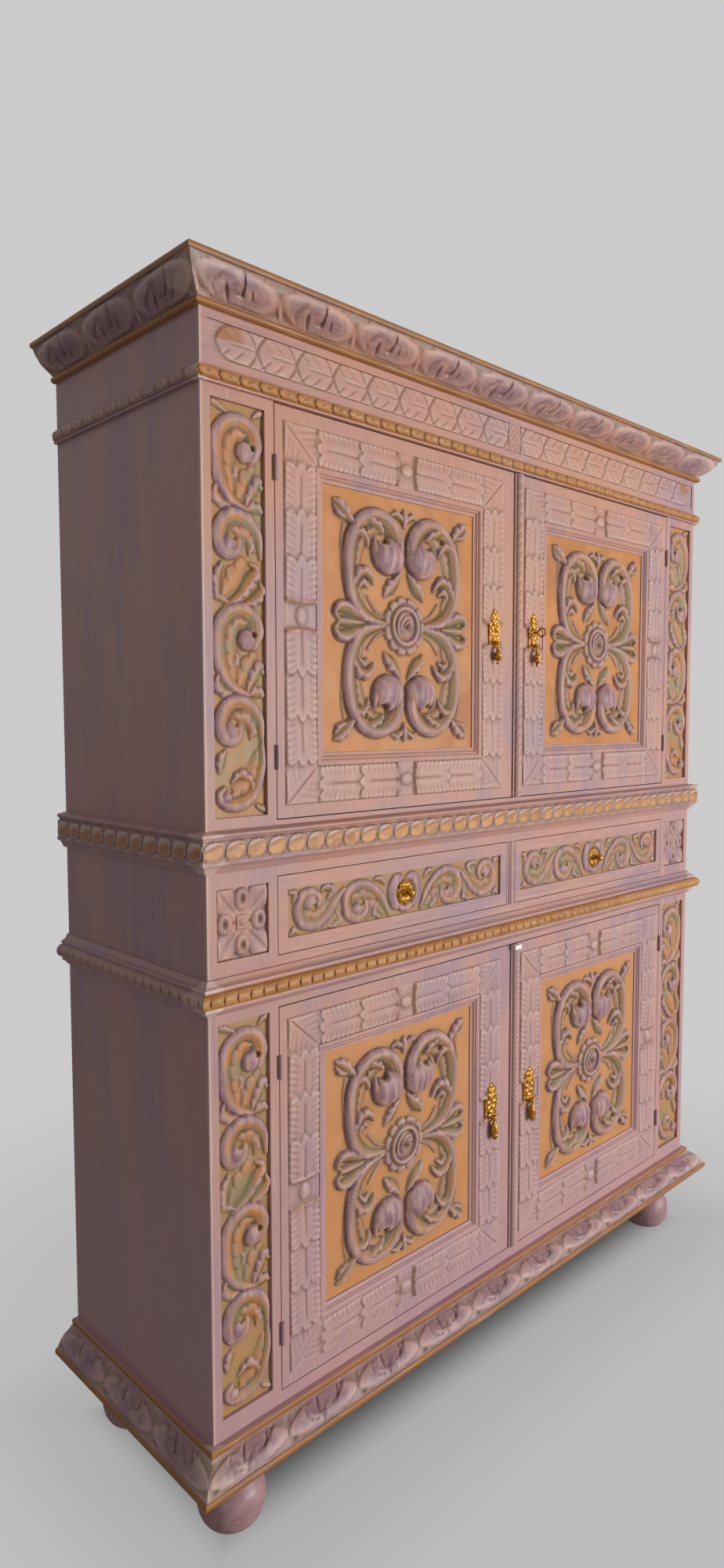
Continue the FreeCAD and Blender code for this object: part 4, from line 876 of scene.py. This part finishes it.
# frieze: leaves lie end to end from a tie in the middle; grooves cross in an X between two leaves, a slit
# runs along each leaf and curved flutes leave it towards the outer end
friezeCarving = {"step": 1.7, "half": (738.4, 26.4), "pitch": 81.0, "tie": 20.0, "ground": -199.8,
                 "back": -197.6, "arm": 17.0, "flute": 25.0}


def friezeRelief():
    cfg = friezeCarving
    low, high = nodeBox("frieze")
    middle = (low + high) / 2
    x, z = gridOver([-h for h in cfg["half"]], cfg["half"], cfg["step"])
    away, side = np.abs(x) - cfg["tie"], np.abs(z)
    span = cfg["half"][0] - 14 - cfg["tie"]
    count = round(span / cfg["pitch"])
    pitch = span / count
    place = away / pitch
    part = place - np.floor(place)
    gap = np.minimum(part, 1 - part) * pitch
    arm = cfg["arm"] * (side / cfg["half"][1]) ** 1.4
    cross = bell(gap - arm, 2.2) + 0.35 * bell(gap - arm, 7.0)
    vein = (part * pitch - 0.25 * side - side ** 2 / 36) / cfg["flute"]
    flutes = bell((vein - np.round(vein)) * cfg["flute"], 2.4) * smooth(side, 4, 12) * (np.round(vein) > 0)
    slit = bell(z, 1.5) * smooth(part, 0.0, 0.06) * (1 - smooth(part, 0.55, 0.75))
    swell = 1.0 * np.sqrt(unit(np.sin(np.pi * part))) * halfRound(side / 30)
    height = 2.8 + 1.4 * swell - 2.0 * cross - flutes * np.where(z > 0, 1.1, 1.5) - 1.6 * slit
    end = (away - (count - 0.5) * pitch) / (0.5 * pitch)
    inside = smooth(1 - np.hypot(np.clip(end, 0, None), side / 27), 0, 0.06)
    height = np.clip(height, 0.4, None) * inside + 0.4 * (1 - inside)
    tie = 3.6 * smooth(cfg["tie"] - np.abs(x), 0, 3) * (0.75 + 0.25 * np.cos(x * 0.5) * np.cos(z * 0.45))
    height = np.where(np.abs(x) < cfg["tie"], np.maximum(tie, 0.4), height)
    looks = wearShadeAndHighlight(height, 2, 1.5)
    outermost = (np.floor(place) == count - 1) * (z > 2) * inside
    looks["gold"] = 0.36 * outermost * smooth(part, 0.1, 0.5) + 0.2 * (np.abs(x) < cfg["tie"])
    reliefSlab("frieze_leaf_carving", x + middle[0], z + middle[2], height, cfg,
               paints["carvedAcross"], "cabinet", looks)


friezeRelief()
print("frieze carved")


# a moulding on three sides of the case: a profile carried along left side, front and right side, with
# mitred corners; relief moves each point along the profile's own normal
def caseMoulding(name, cfg, profile, relief, replaced):
    line = np.asarray(profile, float)
    gone = np.concatenate([[0], np.cumsum(np.hypot(*np.diff(line, axis=0).T))])
    level = np.linspace(0, gone[-1], cfg["rows"])
    reach, rise = np.interp(level, gone, line[:, 0]), np.interp(level, gone, line[:, 1])
    tilt = np.stack([np.gradient(rise), -np.gradient(reach)])
    tilt /= np.hypot(*tilt) + 1e-9
    half, front, back = caseLines["half"], caseLines["front"], caseLines["back"]
    grids, looks = [], []
    frontCells, sideCells = cfg["cells"]
    for run, count in (("left", sideCells), ("front", frontCells), ("right", sideCells)):
        t = np.linspace(0, 1, count * cfg["steps"] + 1)[:-1 if run != "right" else None, None]
        move, attrs = relief(t * count, reach[None, :], rise[None, :], run)
        r = np.clip(reach + tilt[0] * move, reach.min(), reach.max())
        z = np.clip(rise + tilt[1] * move, rise.min(), rise.max()) + cfg["base"]
        near, far = front - r, back + 0 * r
        if run == "front":
            spots = np.stack([(-half - r) + 2 * (half + r) * t, near, z + 0 * t], -1)
        elif run == "left":
            spots = np.stack([-half - r, far + (near - far) * t, z + 0 * t], -1)
        else:
            spots = np.stack([half + r, near + (far - near) * t, z + 0 * t], -1)
        grids.append(spots)
        looks.append({k: np.broadcast_to(v, move.shape) for k, v in attrs.items()})
    points = np.concatenate(grids)
    attributes = {k: np.concatenate([part[k] for part in looks]) for k in looks[0]}
    piece = solidGrid(name, points, paints["carvedAcross"], "cabinet", attributes, sharp=40)
    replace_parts(piece, replaced)


def arc(centre, radius, start, end, count=14):
    turn = np.radians(np.linspace(start, end, count))
    return [(centre[0] + radius[0] * math.cos(a), centre[1] + radius[1] * math.sin(a)) for a in turn]


def cellPart(cells):
    return cells - np.floor(cells) - 0.5


# an oval cushion in its cell: place along and up the face, 1 inside the face, distance from the oval's middle
# with 1 on its edge, and height, which is 1 less a power of that distance, with faint ripples
def ovalCushion(cells, reach, rise, cfg):
    s = cellPart(cells) * cfg["pitch"]
    w = (rise - cfg["middle"]) * cfg["stretch"]
    lowEdge, highEdge = cfg["face"]
    inFace = smooth(rise, *lowEdge) * (1 - smooth(rise, *highEdge)) * (reach > cfg["inner"])
    ring = np.hypot(s / cfg["oval"][0], (w + cfg["sunk"]) / cfg["oval"][1])
    ripple, waves = cfg["ripple"]
    cushion = cfg["high"] * unit(1 - ring ** 3.2) ** 0.5 + ripple * np.cos(ring * waves) * (ring < 0.95)
    return s, w, inFace, ring, cushion


# how much gold shows on the front and on the sides
def gilt(cfg, run):
    return cfg["gilt"][0 if run == "front" else 1]


# grooves cut along given lines, rows are (along, up, half width, depth)
def grooves(s, w, lines):
    cut = np.zeros(np.broadcast(s, w).shape)
    for rows in lines:
        cut = np.maximum(cut, stroke(s + 0 * w, w + 0 * s, rows, 40)[0])
    return cut


cornice = {
    "base": 1940, "rows": 64, "cells": (10, 3), "steps": 68, "pitch": 153.0, "middle": 31.5, "stretch": 1.38,
    "face": ((12.5, 16), (48, 50.5)), "inner": 5, "oval": (76, 29), "sunk": 0, "high": 5.2,
    "ripple": (0.25, 30),
    "cuts": [
        [(-44, -22, 2, 2), (-46, -9, 2.6, 3.5), (-41, -2, 2.6, 3.5), (-33, 2, 2.6, 3.5), (-26, 8, 2.6, 3),
         (-8, 12, 2, 2)],
        [(13, 24, 2.4, 3), (15, 13, 2.6, 4), (13, 5, 3, 4.5), (9, -4, 3, 4.5), (2, -9, 2.6, 3.5),
         (-7, -6, 2, 2)],
        [(-19, -1, 2, 3), (-22, -10, 3.4, 5), (-22, -21, 2.6, 3)],
        [(27, 1, 1.6, 2), (25, -8, 2.4, 3.5), (15, -17, 1.6, 2)]]}
corniceLine = [(0, 0), (4, 0), *arc((5, 5.5), (5.5, 5.5), -90, 90), (5.5, 12), *through(
    [(7, 13), (10.5, 17.5), (18, 23.5), (29, 31.5), (37.5, 40.5), (42, 50)], 30).tolist(),
    (43, 51), (47.2, 51.6), (48, 52.4), (48, 60), (-26, 60), (-26, 0)]


# cornice ovals: broad cushions that nearly touch, each with a fan cut in by curved slits; darts between
def corniceRelief(cells, reach, rise, run):
    s, w, inFace, ring, cushion = ovalCushion(cells, reach, rise, cornice)
    fan = smooth(1 - np.hypot((s + 16) / 31, (w + 12) / 23), 0, 0.16)
    dart = np.hypot((np.abs(s) - cornice["pitch"] / 2) / 5, (w + 10) / 14)
    cut = grooves(s, w, cornice["cuts"])
    move = np.maximum(cushion - 1.2 * fan - 0.75 * cut, 2.6 * halfRound(dart)) * inFace
    looks = wearShadeAndHighlight(move, 3, 2.0)
    # the slits are also painted dark, as shade in them
    looks["cavity"] = np.maximum(looks["cavity"], unit(cut / 4) * 0.75 * inFace)
    looks["gold"] = (smooth(11.8 - rise, 0, 1) * (reach > 2) + smooth(rise, 51, 51.6)) * (0.5 + 0 * s)
    looks["sage"] = bell(np.abs(s) - cornice["pitch"] / 2, 8) * smooth(w, 8, 16) * inFace
    looks["plum"] = 0.6 * smooth(1 - ring, 0.08, 0.45) * inFace
    return move, looks


caseMoulding("carved_cornice", cornice, corniceLine, corniceRelief, "cornice_moulding")

baseMould = {
    "base": 141, "rows": 54, "cells": (10, 3), "steps": 74, "pitch": 156.0, "middle": 29, "stretch": 1.4,
    "face": ((14.0, 17), (41, 43.8)), "inner": 12.7, "oval": (77.5, 22), "sunk": 1, "high": 5.0,
    "ripple": (0.2, 26),
    "cuts": [
        [(-15, 19, 2, 3), (-14, 9, 3.2, 4.5), (-10, 0, 2, 2.5)],
        [(30, 17, 2, 3), (32, 8, 2.4, 3.5), (27, 1, 1.6, 2)],
        [(-41, 19, 2, 2.5), (-39, 8, 2.4, 3.5), (-27, -4, 2, 3), (-12, -8, 1.6, 2)]]}
baseLine = [(0, 0), (44.4, 0), *arc((44.4, 6.3), (3.4, 6.3), -88, 88), (42.4, 13.7), *through(
    [(42.2, 14.0), (36.8, 23.1), (30.1, 31.3), (22.2, 38.2), (13, 44)], 30).tolist(),
    (10.5, 45.4), *arc((9.6, 50.3), (2.9, 4.7), -86, 88), (0, 55)]


# base ovals: broad smooth cushions, a sunk bowl with slits set high, a pale leaf hanging over its rim, and
# dots between
def baseRelief(cells, reach, rise, run):
    s, w, inFace, ring, cushion = ovalCushion(cells, reach, rise, baseMould)
    bowl = smooth(1 - np.hypot((s - 3) / 46, (w - 20) / 24), 0, 0.14)
    leaf = unit(1 - np.abs((s - 9 - 0.15 * w) / (9 - 0.2 * np.abs(w + 6))) ** 2) * smooth(w, -20, -12)
    leaf = 2.2 * np.sqrt(leaf) * smooth(8 - w, 0, 5) * (1 - 0.2 * np.cos(s * 1.6))
    between = np.abs(np.abs(s) - baseMould["pitch"] / 2)
    dot = bell(np.hypot((s + 65) / 1.6, w + 16), 4.0)
    spandrel = bell(between, 4.5) * smooth(w, 4, 14)
    cut = grooves(s, w, baseMould["cuts"])
    move = (cushion - 2.4 * bowl + leaf - 0.7 * cut - 2.0 * dot - 1.5 * spandrel) * inFace
    looks = wearShadeAndHighlight(move, 3, 2.0)
    # slits and the hollows between cushions are also painted dark, as shade in them
    looks["cavity"] = np.maximum(looks["cavity"], unit(cut / 4 + spandrel * 0.7) * 0.7 * inFace)
    nosing, fillet = smooth(13.4 - rise, 0, 1), smooth(rise, 44.6, 45.2) * smooth(reach, 9.2, 10.4)
    looks["gold"] = (nosing + fillet) * (0.5 + 0 * s)
    looks["sage"] = unit(dot * 1.3 + 0.5 * smooth(ring, 0.9, 1.1)) * inFace
    looks["plum"] = 0.75 * smooth(1 - ring, 0.08, 0.45) * inFace
    looks["ridge"] = np.maximum(looks["ridge"], unit(leaf / 2.2) * 0.8)
    return move, looks


caseMoulding("carved_base", baseMould, baseLine, baseRelief, "base_moulding")

waist = {"base": 1105, "rows": 46, "cells": (38, 11), "steps": 21, "pitch": 41.0, "lobeHalf": 14.5,
         "lobeMiddle": 35.5, "lobe": (19, 14.8), "high": 12.4, "slits": (-1.5, 4.5, 10), "gilt": (1.0, 0.4)}
waistLine = [(0, 0), (6, 0), (7.5, 2), (9, 6), (12, 11), (15.5, 14), (18.5, 14.6), (18.5, 20), (17, 20.8),
             (17, 50.2), (15, 51), (13.5, 53), (14.5, 56), (18, 57), (18, 61.5), (16, 62.5), (8, 63.5),
             (6, 65), (0, 65)]


# gadroons: leaning lobes side by side, each the root of 1 less a power of its distance across and up, gilt
# below and to the right, the gold there also a painted highlight on the side towards the light, with curved
# slits cut into the face; slits and the gaps between lobes are painted dark as shade
def waistRelief(cells, reach, rise, run):
    s = cellPart(cells) * waist["pitch"]
    w = rise - waist["lobeMiddle"]
    upright = halfRound(w / waist["lobeHalf"])
    lean = s - 0.2 * w
    lobe = np.sqrt(unit(1 - np.abs(lean / waist["lobe"][0]) ** 2.4 - np.abs(w / waist["lobe"][1]) ** 3))
    slits = sum(bell(s - shift + 0.035 * (w + 1) ** 2, 1.5) for shift in waist["slits"]) * bell(w + 1, 9)
    move = waist["high"] * lobe - 1.4 * slits * lobe
    looks = wearShadeAndHighlight(move, 2, 2.6)
    # gap: the hollow between lobes, painted dark as shade
    gap = smooth(0.45 - lobe, 0, 0.4) * smooth(upright, 0.1, 0.5)
    looks["cavity"] = np.maximum(looks["cavity"], np.maximum(unit(slits) * 0.55, 0.9 * gap))
    # gold on the lower right of each lobe: gilt and a painted highlight
    giltAndSheen = smooth(0.3 * s - w, -15, 2) * smooth(lobe, 0.2, 0.8)
    looks["gold"] = giltAndSheen * gilt(waist, run)
    looks["sage"] = 0.3 * smooth(-s + 0.6 * w, 8, 20) * upright
    return move, looks


caseMoulding("carved_gadroons", waist, waistLine, waistRelief, "gadroon_moulding")

lowerBead = {"base": 885, "rows": 38, "cells": (62, 18), "steps": 12, "pitch": 24.6, "middle": 27.8,
             "half": 12.6, "gilt": (0.75, 0.22)}
lowerBeadLine = [(0, 0), (4, 0), (5.5, 2), (8, 6), (12, 8.6), (14.5, 9), (14.5, 14.8), (13, 15.4),
                 *arc((13.2, 27.8), (12.2, 12.2), -88, 88, 22), (13, 40.4), (15.5, 41), (15.5, 46), (12, 47),
                 (8, 49), (5.5, 53), (4, 57), (0, 57)]


# half-round strip with narrow slits cut across its middle
def lowerBeadRelief(cells, reach, rise, run):
    s = cellPart(cells) * lowerBead["pitch"]
    w = rise - lowerBead["middle"]
    strip = smooth(lowerBead["half"] - np.abs(w), 0, 1.5)
    slit = bell(s, 1.7) * bell(w, 7.0) * strip
    move = -3.2 * slit
    # the slits are painted dark as shade, and a pale band just above the middle is a painted highlight along
    # the bead
    looks = {"cavity": unit(slit * 1.1), "ridge": 0.25 * bell(w - 5, 4) * strip + 0 * s}
    looks["gold"] = strip * gilt(lowerBead, run) + 0 * s
    return move, looks


caseMoulding("carved_lower_bead", lowerBead, lowerBeadLine, lowerBeadRelief, "lower_bead_moulding")

upperBead = {"base": 1834, "rows": 34, "cells": (41, 12), "steps": 14, "pitch": 37.0, "middle": 13,
             "half": 9.2, "gilt": (0.7, 0.2)}
upperBeadLine = [(0, 0), (7, 0), (7.6, 0.8), (7.6, 3), (5, 3.8), *arc((4.4, 13), (7.6, 9), -86, 86, 20),
                 (5, 22.3), (4, 24), (2, 26), (0, 26)]


# a row of long beads: grooves between them and a drilled dot in the middle of each
def upperBeadRelief(cells, reach, rise, run):
    s = cellPart(cells) * upperBead["pitch"]
    w = rise - upperBead["middle"]
    strip = smooth(upperBead["half"] - np.abs(w), 0, 1.5)
    groove = bell(np.abs(s - 0.05 * w ** 2) - upperBead["pitch"] / 2, 2.2) * strip
    dot = bell(np.hypot(s, w), 2.6) * strip
    move = -2.6 * groove - 2.2 * dot
    # grooves and dots are painted dark as shade, and a pale band just above the middle is a painted highlight
    # along the beads
    looks = {"cavity": unit(groove + dot) * 0.9, "ridge": 0.2 * bell(w - 4, 3) * strip + 0 * s}
    looks["gold"] = strip * gilt(upperBead, run) + 0 * s
    return move, looks


caseMoulding("carved_upper_bead", upperBead, upperBeadLine, upperBeadRelief, "upper_bead_moulding")
print("mouldings carved")


# a turned piece with a waved rim: profile (radius, reach) spun about an axis that points out of the front
def turnedFront(name, centre, cfg, body):
    line, lobes = np.asarray(cfg["profile"], float), cfg["petals"]
    petalAt, petalRing, petalHalf, petalRise = cfg["petal"]
    turn = np.linspace(0, 2 * np.pi, cfg["around"], endpoint=False)[:, None]
    radius = line[:, 0] * (1 + cfg["wave"] * np.cos(lobes * turn) * smooth(line[:, 0], 9, 16))
    petal = np.hypot(line[:, 0] - petalAt, petalAt * 2 / lobes * np.sin(lobes / 2 * turn))
    relief = petalRise * halfRound((petal - petalRing) / petalHalf) * (line[:, 1] > 2) * (line[:, 0] > 9)
    points = np.stack([centre[0] + radius * np.cos(turn), centre[1] - line[:, 1] - relief,
                       centre[2] + radius * np.sin(turn)], -1)
    return solidGrid(name, points, paints["brass"], body, ring=True, sharp=55)


# drawer pulls: a rosette of eight ring petals with a small knob on a neck, as a surface of radius and angle
drawerPull = {"petals": 8, "wave": 0.09, "around": 96, "petal": (15, 3.6, 2.4, 3.0),
              "profile": [(0.05, 0), (22, 0), (22.6, 0.8), (22, 1.8), (20, 2.2), (18, 2.2), (16, 2.2),
                          (14, 2.2), (12, 2.2), (10, 2.4), (8.4, 2.8), (6.4, 4), (4.4, 7), (4.0, 11),
                          (5.2, 14), (7.2, 16.5), (8, 19), (7.4, 21.6), (5.6, 23.8), (3, 25.2), (0.05, 25.6)]}
for side in sides:
    low, high = nodeBox(f"{side}_drawer_knob")
    middle = (low + high) / 2
    pull = turnedFront(f"{side}_drawer_pull", (middle[0], high[1], middle[2]), drawerPull, f"{side}_drawer")
    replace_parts(pull, f"{side}_drawer_knob")
print("drawer pulls turned")


# turned feet: a flattened bun, a neck ring and a stub under the case, profile rows are (radius, height)
turnedFoot = {"across": 677.0, "deep": (-142.0, 177.0), "around": 72, "along": 64}
footLine = [(37, 0), (45, 3), (53, 14), (57.5, 30), (58, 46), (54.5, 62), (47, 75), (41, 82), (39.5, 86),
            (43.5, 90), (46, 98), (44, 106), (39, 110), (37, 120), (37, 141)]


def footSkin(name, across, deep):
    line = through(footLine, turnedFoot["along"])
    turn = np.linspace(0, -2 * np.pi, turnedFoot["around"], endpoint=False)
    points = np.stack([across + line[:, :1] * np.cos(turn), deep + line[:, :1] * np.sin(turn),
                       line[:, 1:] + 0 * turn], -1)
    return solidGrid(name, points, paints["feet"], "cabinet")


for end, deep in zip(("front", "back"), turnedFoot["deep"]):
    for side, sign in sides.items():
        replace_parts(footSkin(f"{end}_{side}_foot", sign * turnedFoot["across"], deep), "bun_feet")
print("feet turned")


# cast ornament on each keyhole plate: a heap of rounded lobes inside the plate's outline
plateLobes = [(0, 0.06, 0.5, 0.07), (-0.35, 0.16, 0.4, 0.07), (0.35, 0.16, 0.4, 0.07), (0, 0.24, 0.5, 0.08),
              (-0.5, 0.36, 0.45, 0.08), (0.5, 0.36, 0.45, 0.08), (-0.62, 0.5, 0.42, 0.08),
              (0.62, 0.5, 0.42, 0.08), (0, 0.62, 0.5, 0.07), (-0.4, 0.68, 0.4, 0.07),
              (0.4, 0.68, 0.4, 0.07), (-0.45, 0.82, 0.4, 0.07), (0.45, 0.82, 0.4, 0.07),
              (0, 0.78, 0.45, 0.07), (0, 0.92, 0.4, 0.07)]
# width, height and lowest point of each plate's ornament
plates = {"upper": (30, 78, 1479.86), "lower": (36, 81, 515.47), "step": 0.9, "middle": 65, "front": -206.2,
          "back": -204.0, "rise": 3.6, "sunk": 0.6}


def plateOrnament(door):
    wide, tall, bottom = plates[door.split("_")[0]]
    x, z = gridOver((-wide / 2, 0), (wide / 2, tall), plates["step"])
    height = np.zeros_like(x)
    for across, up, halfWide, halfTall in plateLobes:
        aside = (x - across * wide / 2 * 0.8) / (halfWide * wide / 2)
        away = np.hypot(aside, (z - up * tall) / (halfTall * tall))
        height = np.maximum(height, plates["rise"] * halfRound(away))
    centre = plates["middle"] * (-1 if "left" in door else 1)
    face = plates["front"] - height + plates["sunk"] * (height <= 0)
    front = np.stack([x + centre, face, z + bottom], -1)
    points = backed(front, plates["back"])
    solidGrid(f"{door}_plate_ornament", points, paints["brass"], door)


for door in doorNames:
    plateOrnament(door)
print("plates cast")


# closing strips: a bead cut into a row of rounded lengths by bowed notches, laid over the strip's plain bead
closingBead = {"upper": {"pitch": 19.5, "low": 1181, "high": 1831},
               "lower": {"pitch": 11.6, "low": 220, "high": 861},
               "from": 3.5, "to": 25.5, "step": 1.2, "radius": 12.03, "sunk": 3.06, "skin": 0.35, "rise": 1.9,
               "ground": -202.0, "back": -203.0}


def closingStrip(level):
    cfg, run = closingBead, closingBead[level]
    x, z = gridOver((cfg["from"], run["low"]), (cfg["to"], run["high"]), cfg["step"])
    aside = x - (cfg["from"] + cfg["to"]) / 2
    bead = np.sqrt(np.clip(cfg["radius"] ** 2 - aside ** 2, 9, None)) - cfg["sunk"]
    place = (z + 0.05 * aside ** 2) / run["pitch"]
    swell = halfRound(2 * (place - np.floor(place)) - 1)
    edge = smooth(11 - np.abs(aside), 0, 2.5)
    height = np.clip(bead, 3.3, None) + cfg["skin"] + cfg["rise"] * swell * edge
    looks = wearShadeAndHighlight(height, 1, 0.7)
    looks["gold"] = 0.14 * edge * swell
    reliefSlab(f"{level}_closing_bead", x, z, height, cfg, paints["carvedUpright"], f"{level}_right_door",
               looks)


for level in ("upper", "lower"):
    closingStrip(level)
print("closing strips beaded")


# CAD nodes that show keep their solids and take a finish
def eachDoor(part):
    return [f"{door}_{part}" for door in doorNames]


finishes = {
    "upright": ["upper_sides", "lower_sides", "upper_posts", "lower_posts", "drawer_divider",
                *eachDoor("frame"), *eachDoor("trim")],
    "across": ["lower_rails", "upper_rails", "frieze", "lower_top", "left_drawer_front",
               "right_drawer_front"],
    "pineUpright": ["lower_back", "upper_back", "locating_dowels", *eachDoor("panel")],
    "pineAcross": ["plinth_frame", "lower_floor", "dust_board", "drawer_runners", "lower_shelf",
                   "shelf_cleats", "upper_floor", "upper_shelves", "upper_top", "left_drawer_box",
                   "right_drawer_box"],
    "brass": ["door_key", "upper_left_drop", "upper_right_drop", "lower_left_drop", "lower_right_drop"],
    "fittings": ["case_hinges", *eachDoor("fittings")],
    "steel": ["upper_lock_bolt", "lower_lock_bolt", "upper_slide_bolt", "lower_slide_bolt"],
}
for finish, names in finishes.items():
    for name in names:
        mesh = nodes[name].data
        mesh.materials.clear()
        mesh.materials.append(paints[finish])
print("CAD nodes finished")

# camera as fitted to the photograph's edges: place in metres, angles in degrees, focal length in image pixels
view = {"place": (-1.5562, -1.3833, 1.3391), "heading": 43.745, "down": 3.924, "roll": -0.115,
        "focal": 1200.8, "tall": 2000}
heading, down, roll = (math.radians(view[key]) for key in ("heading", "down", "roll"))
ahead = Vector((math.sin(heading) * math.cos(down), math.cos(heading) * math.cos(down), -math.sin(down)))
level = Vector((math.cos(heading), -math.sin(heading), 0))
upward = level.cross(ahead)
right = level * math.cos(roll) + upward * math.sin(roll)
upward = right.cross(ahead)
lens = bpy.data.cameras.new("photoCamera")
lens.sensor_width, lens.lens = 36.0, 36.0 * view["focal"] / view["tall"]
lens.clip_start, lens.clip_end = 0.05, 100
camera = bpy.data.objects.new("photoCamera", lens)
facing = Matrix((right, upward, -ahead)).transposed().to_4x4()
camera.matrix_world = Matrix.Translation(view["place"]) @ facing
scene.collection.objects.link(camera)
scene.camera = camera

# soft light from the right of the front, a weak fill, and a pale surround
lamps = {
    "keyLight": {"place": (3.4, -6.6, 0.95), "aim": (0.0, -0.2, 0.75), "size": 3.6, "power": 530,
                 "tint": (1.0, 1.0, 1.0)},
    "fillLight": {"place": (-5.5, -2.5, 2.2), "aim": (-0.5, 0.0, 1.0), "size": 3.5, "power": 16,
                  "tint": (0.95, 0.98, 1.0)},
}
for name, cfg in lamps.items():
    lamp = bpy.data.lights.new(name, "AREA")
    lamp.shape, lamp.size, lamp.energy, lamp.color = "DISK", cfg["size"], cfg["power"], cfg["tint"]
    holder = bpy.data.objects.new(name, lamp)
    holder.location = cfg["place"]
    holder.rotation_euler = (Vector(cfg["aim"]) - Vector(cfg["place"])).to_track_quat("-Z", "Y").to_euler()
    scene.collection.objects.link(holder)

surround = {"seen": 0.60, "glow": 0.20}
world = bpy.data.worlds.new("paleSurround")
scene.world = world
world.use_nodes = True
wire = Wire(world.node_tree)
for old in list(world.node_tree.nodes):
    world.node_tree.nodes.remove(old)
rays = world.node_tree.nodes.new("ShaderNodeLightPath")
seen = [Wire(world.node_tree, rays.outputs[f"Is {kind} Ray"])
        for kind in ("Camera", "Glossy", "Transmission")]
direct = seen[0].math("MAXIMUM", seen[0], seen[0].math("MAXIMUM", seen[1], seen[2]))
shade = wire.blend((*[surround["glow"]] * 3, 1.0), (*[surround["seen"]] * 3, 1.0), direct)
glow = wire.node("ShaderNodeBackground", None, {"Color": shade, "Strength": 1.0})
wire.node("ShaderNodeOutputWorld", None, {"Surface": glow})

# floor: pale and plain near the feet, with a soft shadow under and beside the cabinet's footprint painted
# into the floor's glow, fading to the surround's own grey far out
floorLook = {"radius": 40.0, "grey": 0.62, "lit": 0.54, "beside": 0.46, "under": 0.06, "even": 0.88,
             "fadeFrom": 0.6, "fadeTo": 1.9, "footprint": (0.74, 0.02, 0.22)}
ringTurn = np.linspace(0, 2 * np.pi, 96, endpoint=False)
rim = np.stack([np.cos(ringTurn), np.sin(ringTurn), 0 * ringTurn], -1) * floorLook["radius"]
floorMesh = bpy.data.meshes.new("floor")
floorMesh.from_pydata(rim.tolist(), [], [list(range(len(rim)))])
floor = bpy.data.objects.new("floor", floorMesh)
scene.collection.objects.link(floor)
floorPaint = bpy.data.materials.new("paleFloor")
floorPaint.use_nodes = True
tree = floorPaint.node_tree
wire = Wire(tree)
place = wire.node("ShaderNodeTexCoord", None, None, 3)
far = wire.node("ShaderNodeVectorMath", {"operation": "LENGTH"}, {0: place}, 1)
plain = wire.node("ShaderNodeBsdfDiffuse", None, {"Color": (*[floorLook["grey"]] * 3, 1.0)})
fade = far.between(floorLook["fadeFrom"], floorLook["fadeTo"])
halfWide, middle, halfDeep = floorLook["footprint"]
across, deep = wire.axis(place, 0), wire.axis(place, 1) - middle
beside = across.math("MAXIMUM", abs(across) - halfWide, abs(deep) - halfDeep)
levels = [floorLook[key] for key in ("under", "beside", "lit")] + [surround["seen"]]
greys = [(level, level, level, 1.0) for level in levels]
# painted shadow: the glow darkens under the footprint and eases out beside it
shade = wire.blend(greys[0], greys[1], beside.between(-0.11, 0.025))
shade = wire.blend(shade, greys[2], beside.between(0.0, 0.28))
lost = wire.node("ShaderNodeEmission", None, {"Color": wire.blend(shade, greys[3], fade), "Strength": 1.0})
rays = tree.nodes.new("ShaderNodeLightPath")
even = (fade * (1 - floorLook["even"]) + floorLook["even"]) * Wire(tree, rays.outputs["Is Camera Ray"])
mixed = wire.node("ShaderNodeMixShader", None, {0: even, 1: plain, 2: lost})
tree.links.new(mixed.socket, tree.nodes["Material Output"].inputs["Surface"])
floorMesh.materials.append(floorPaint)
print("stage set")
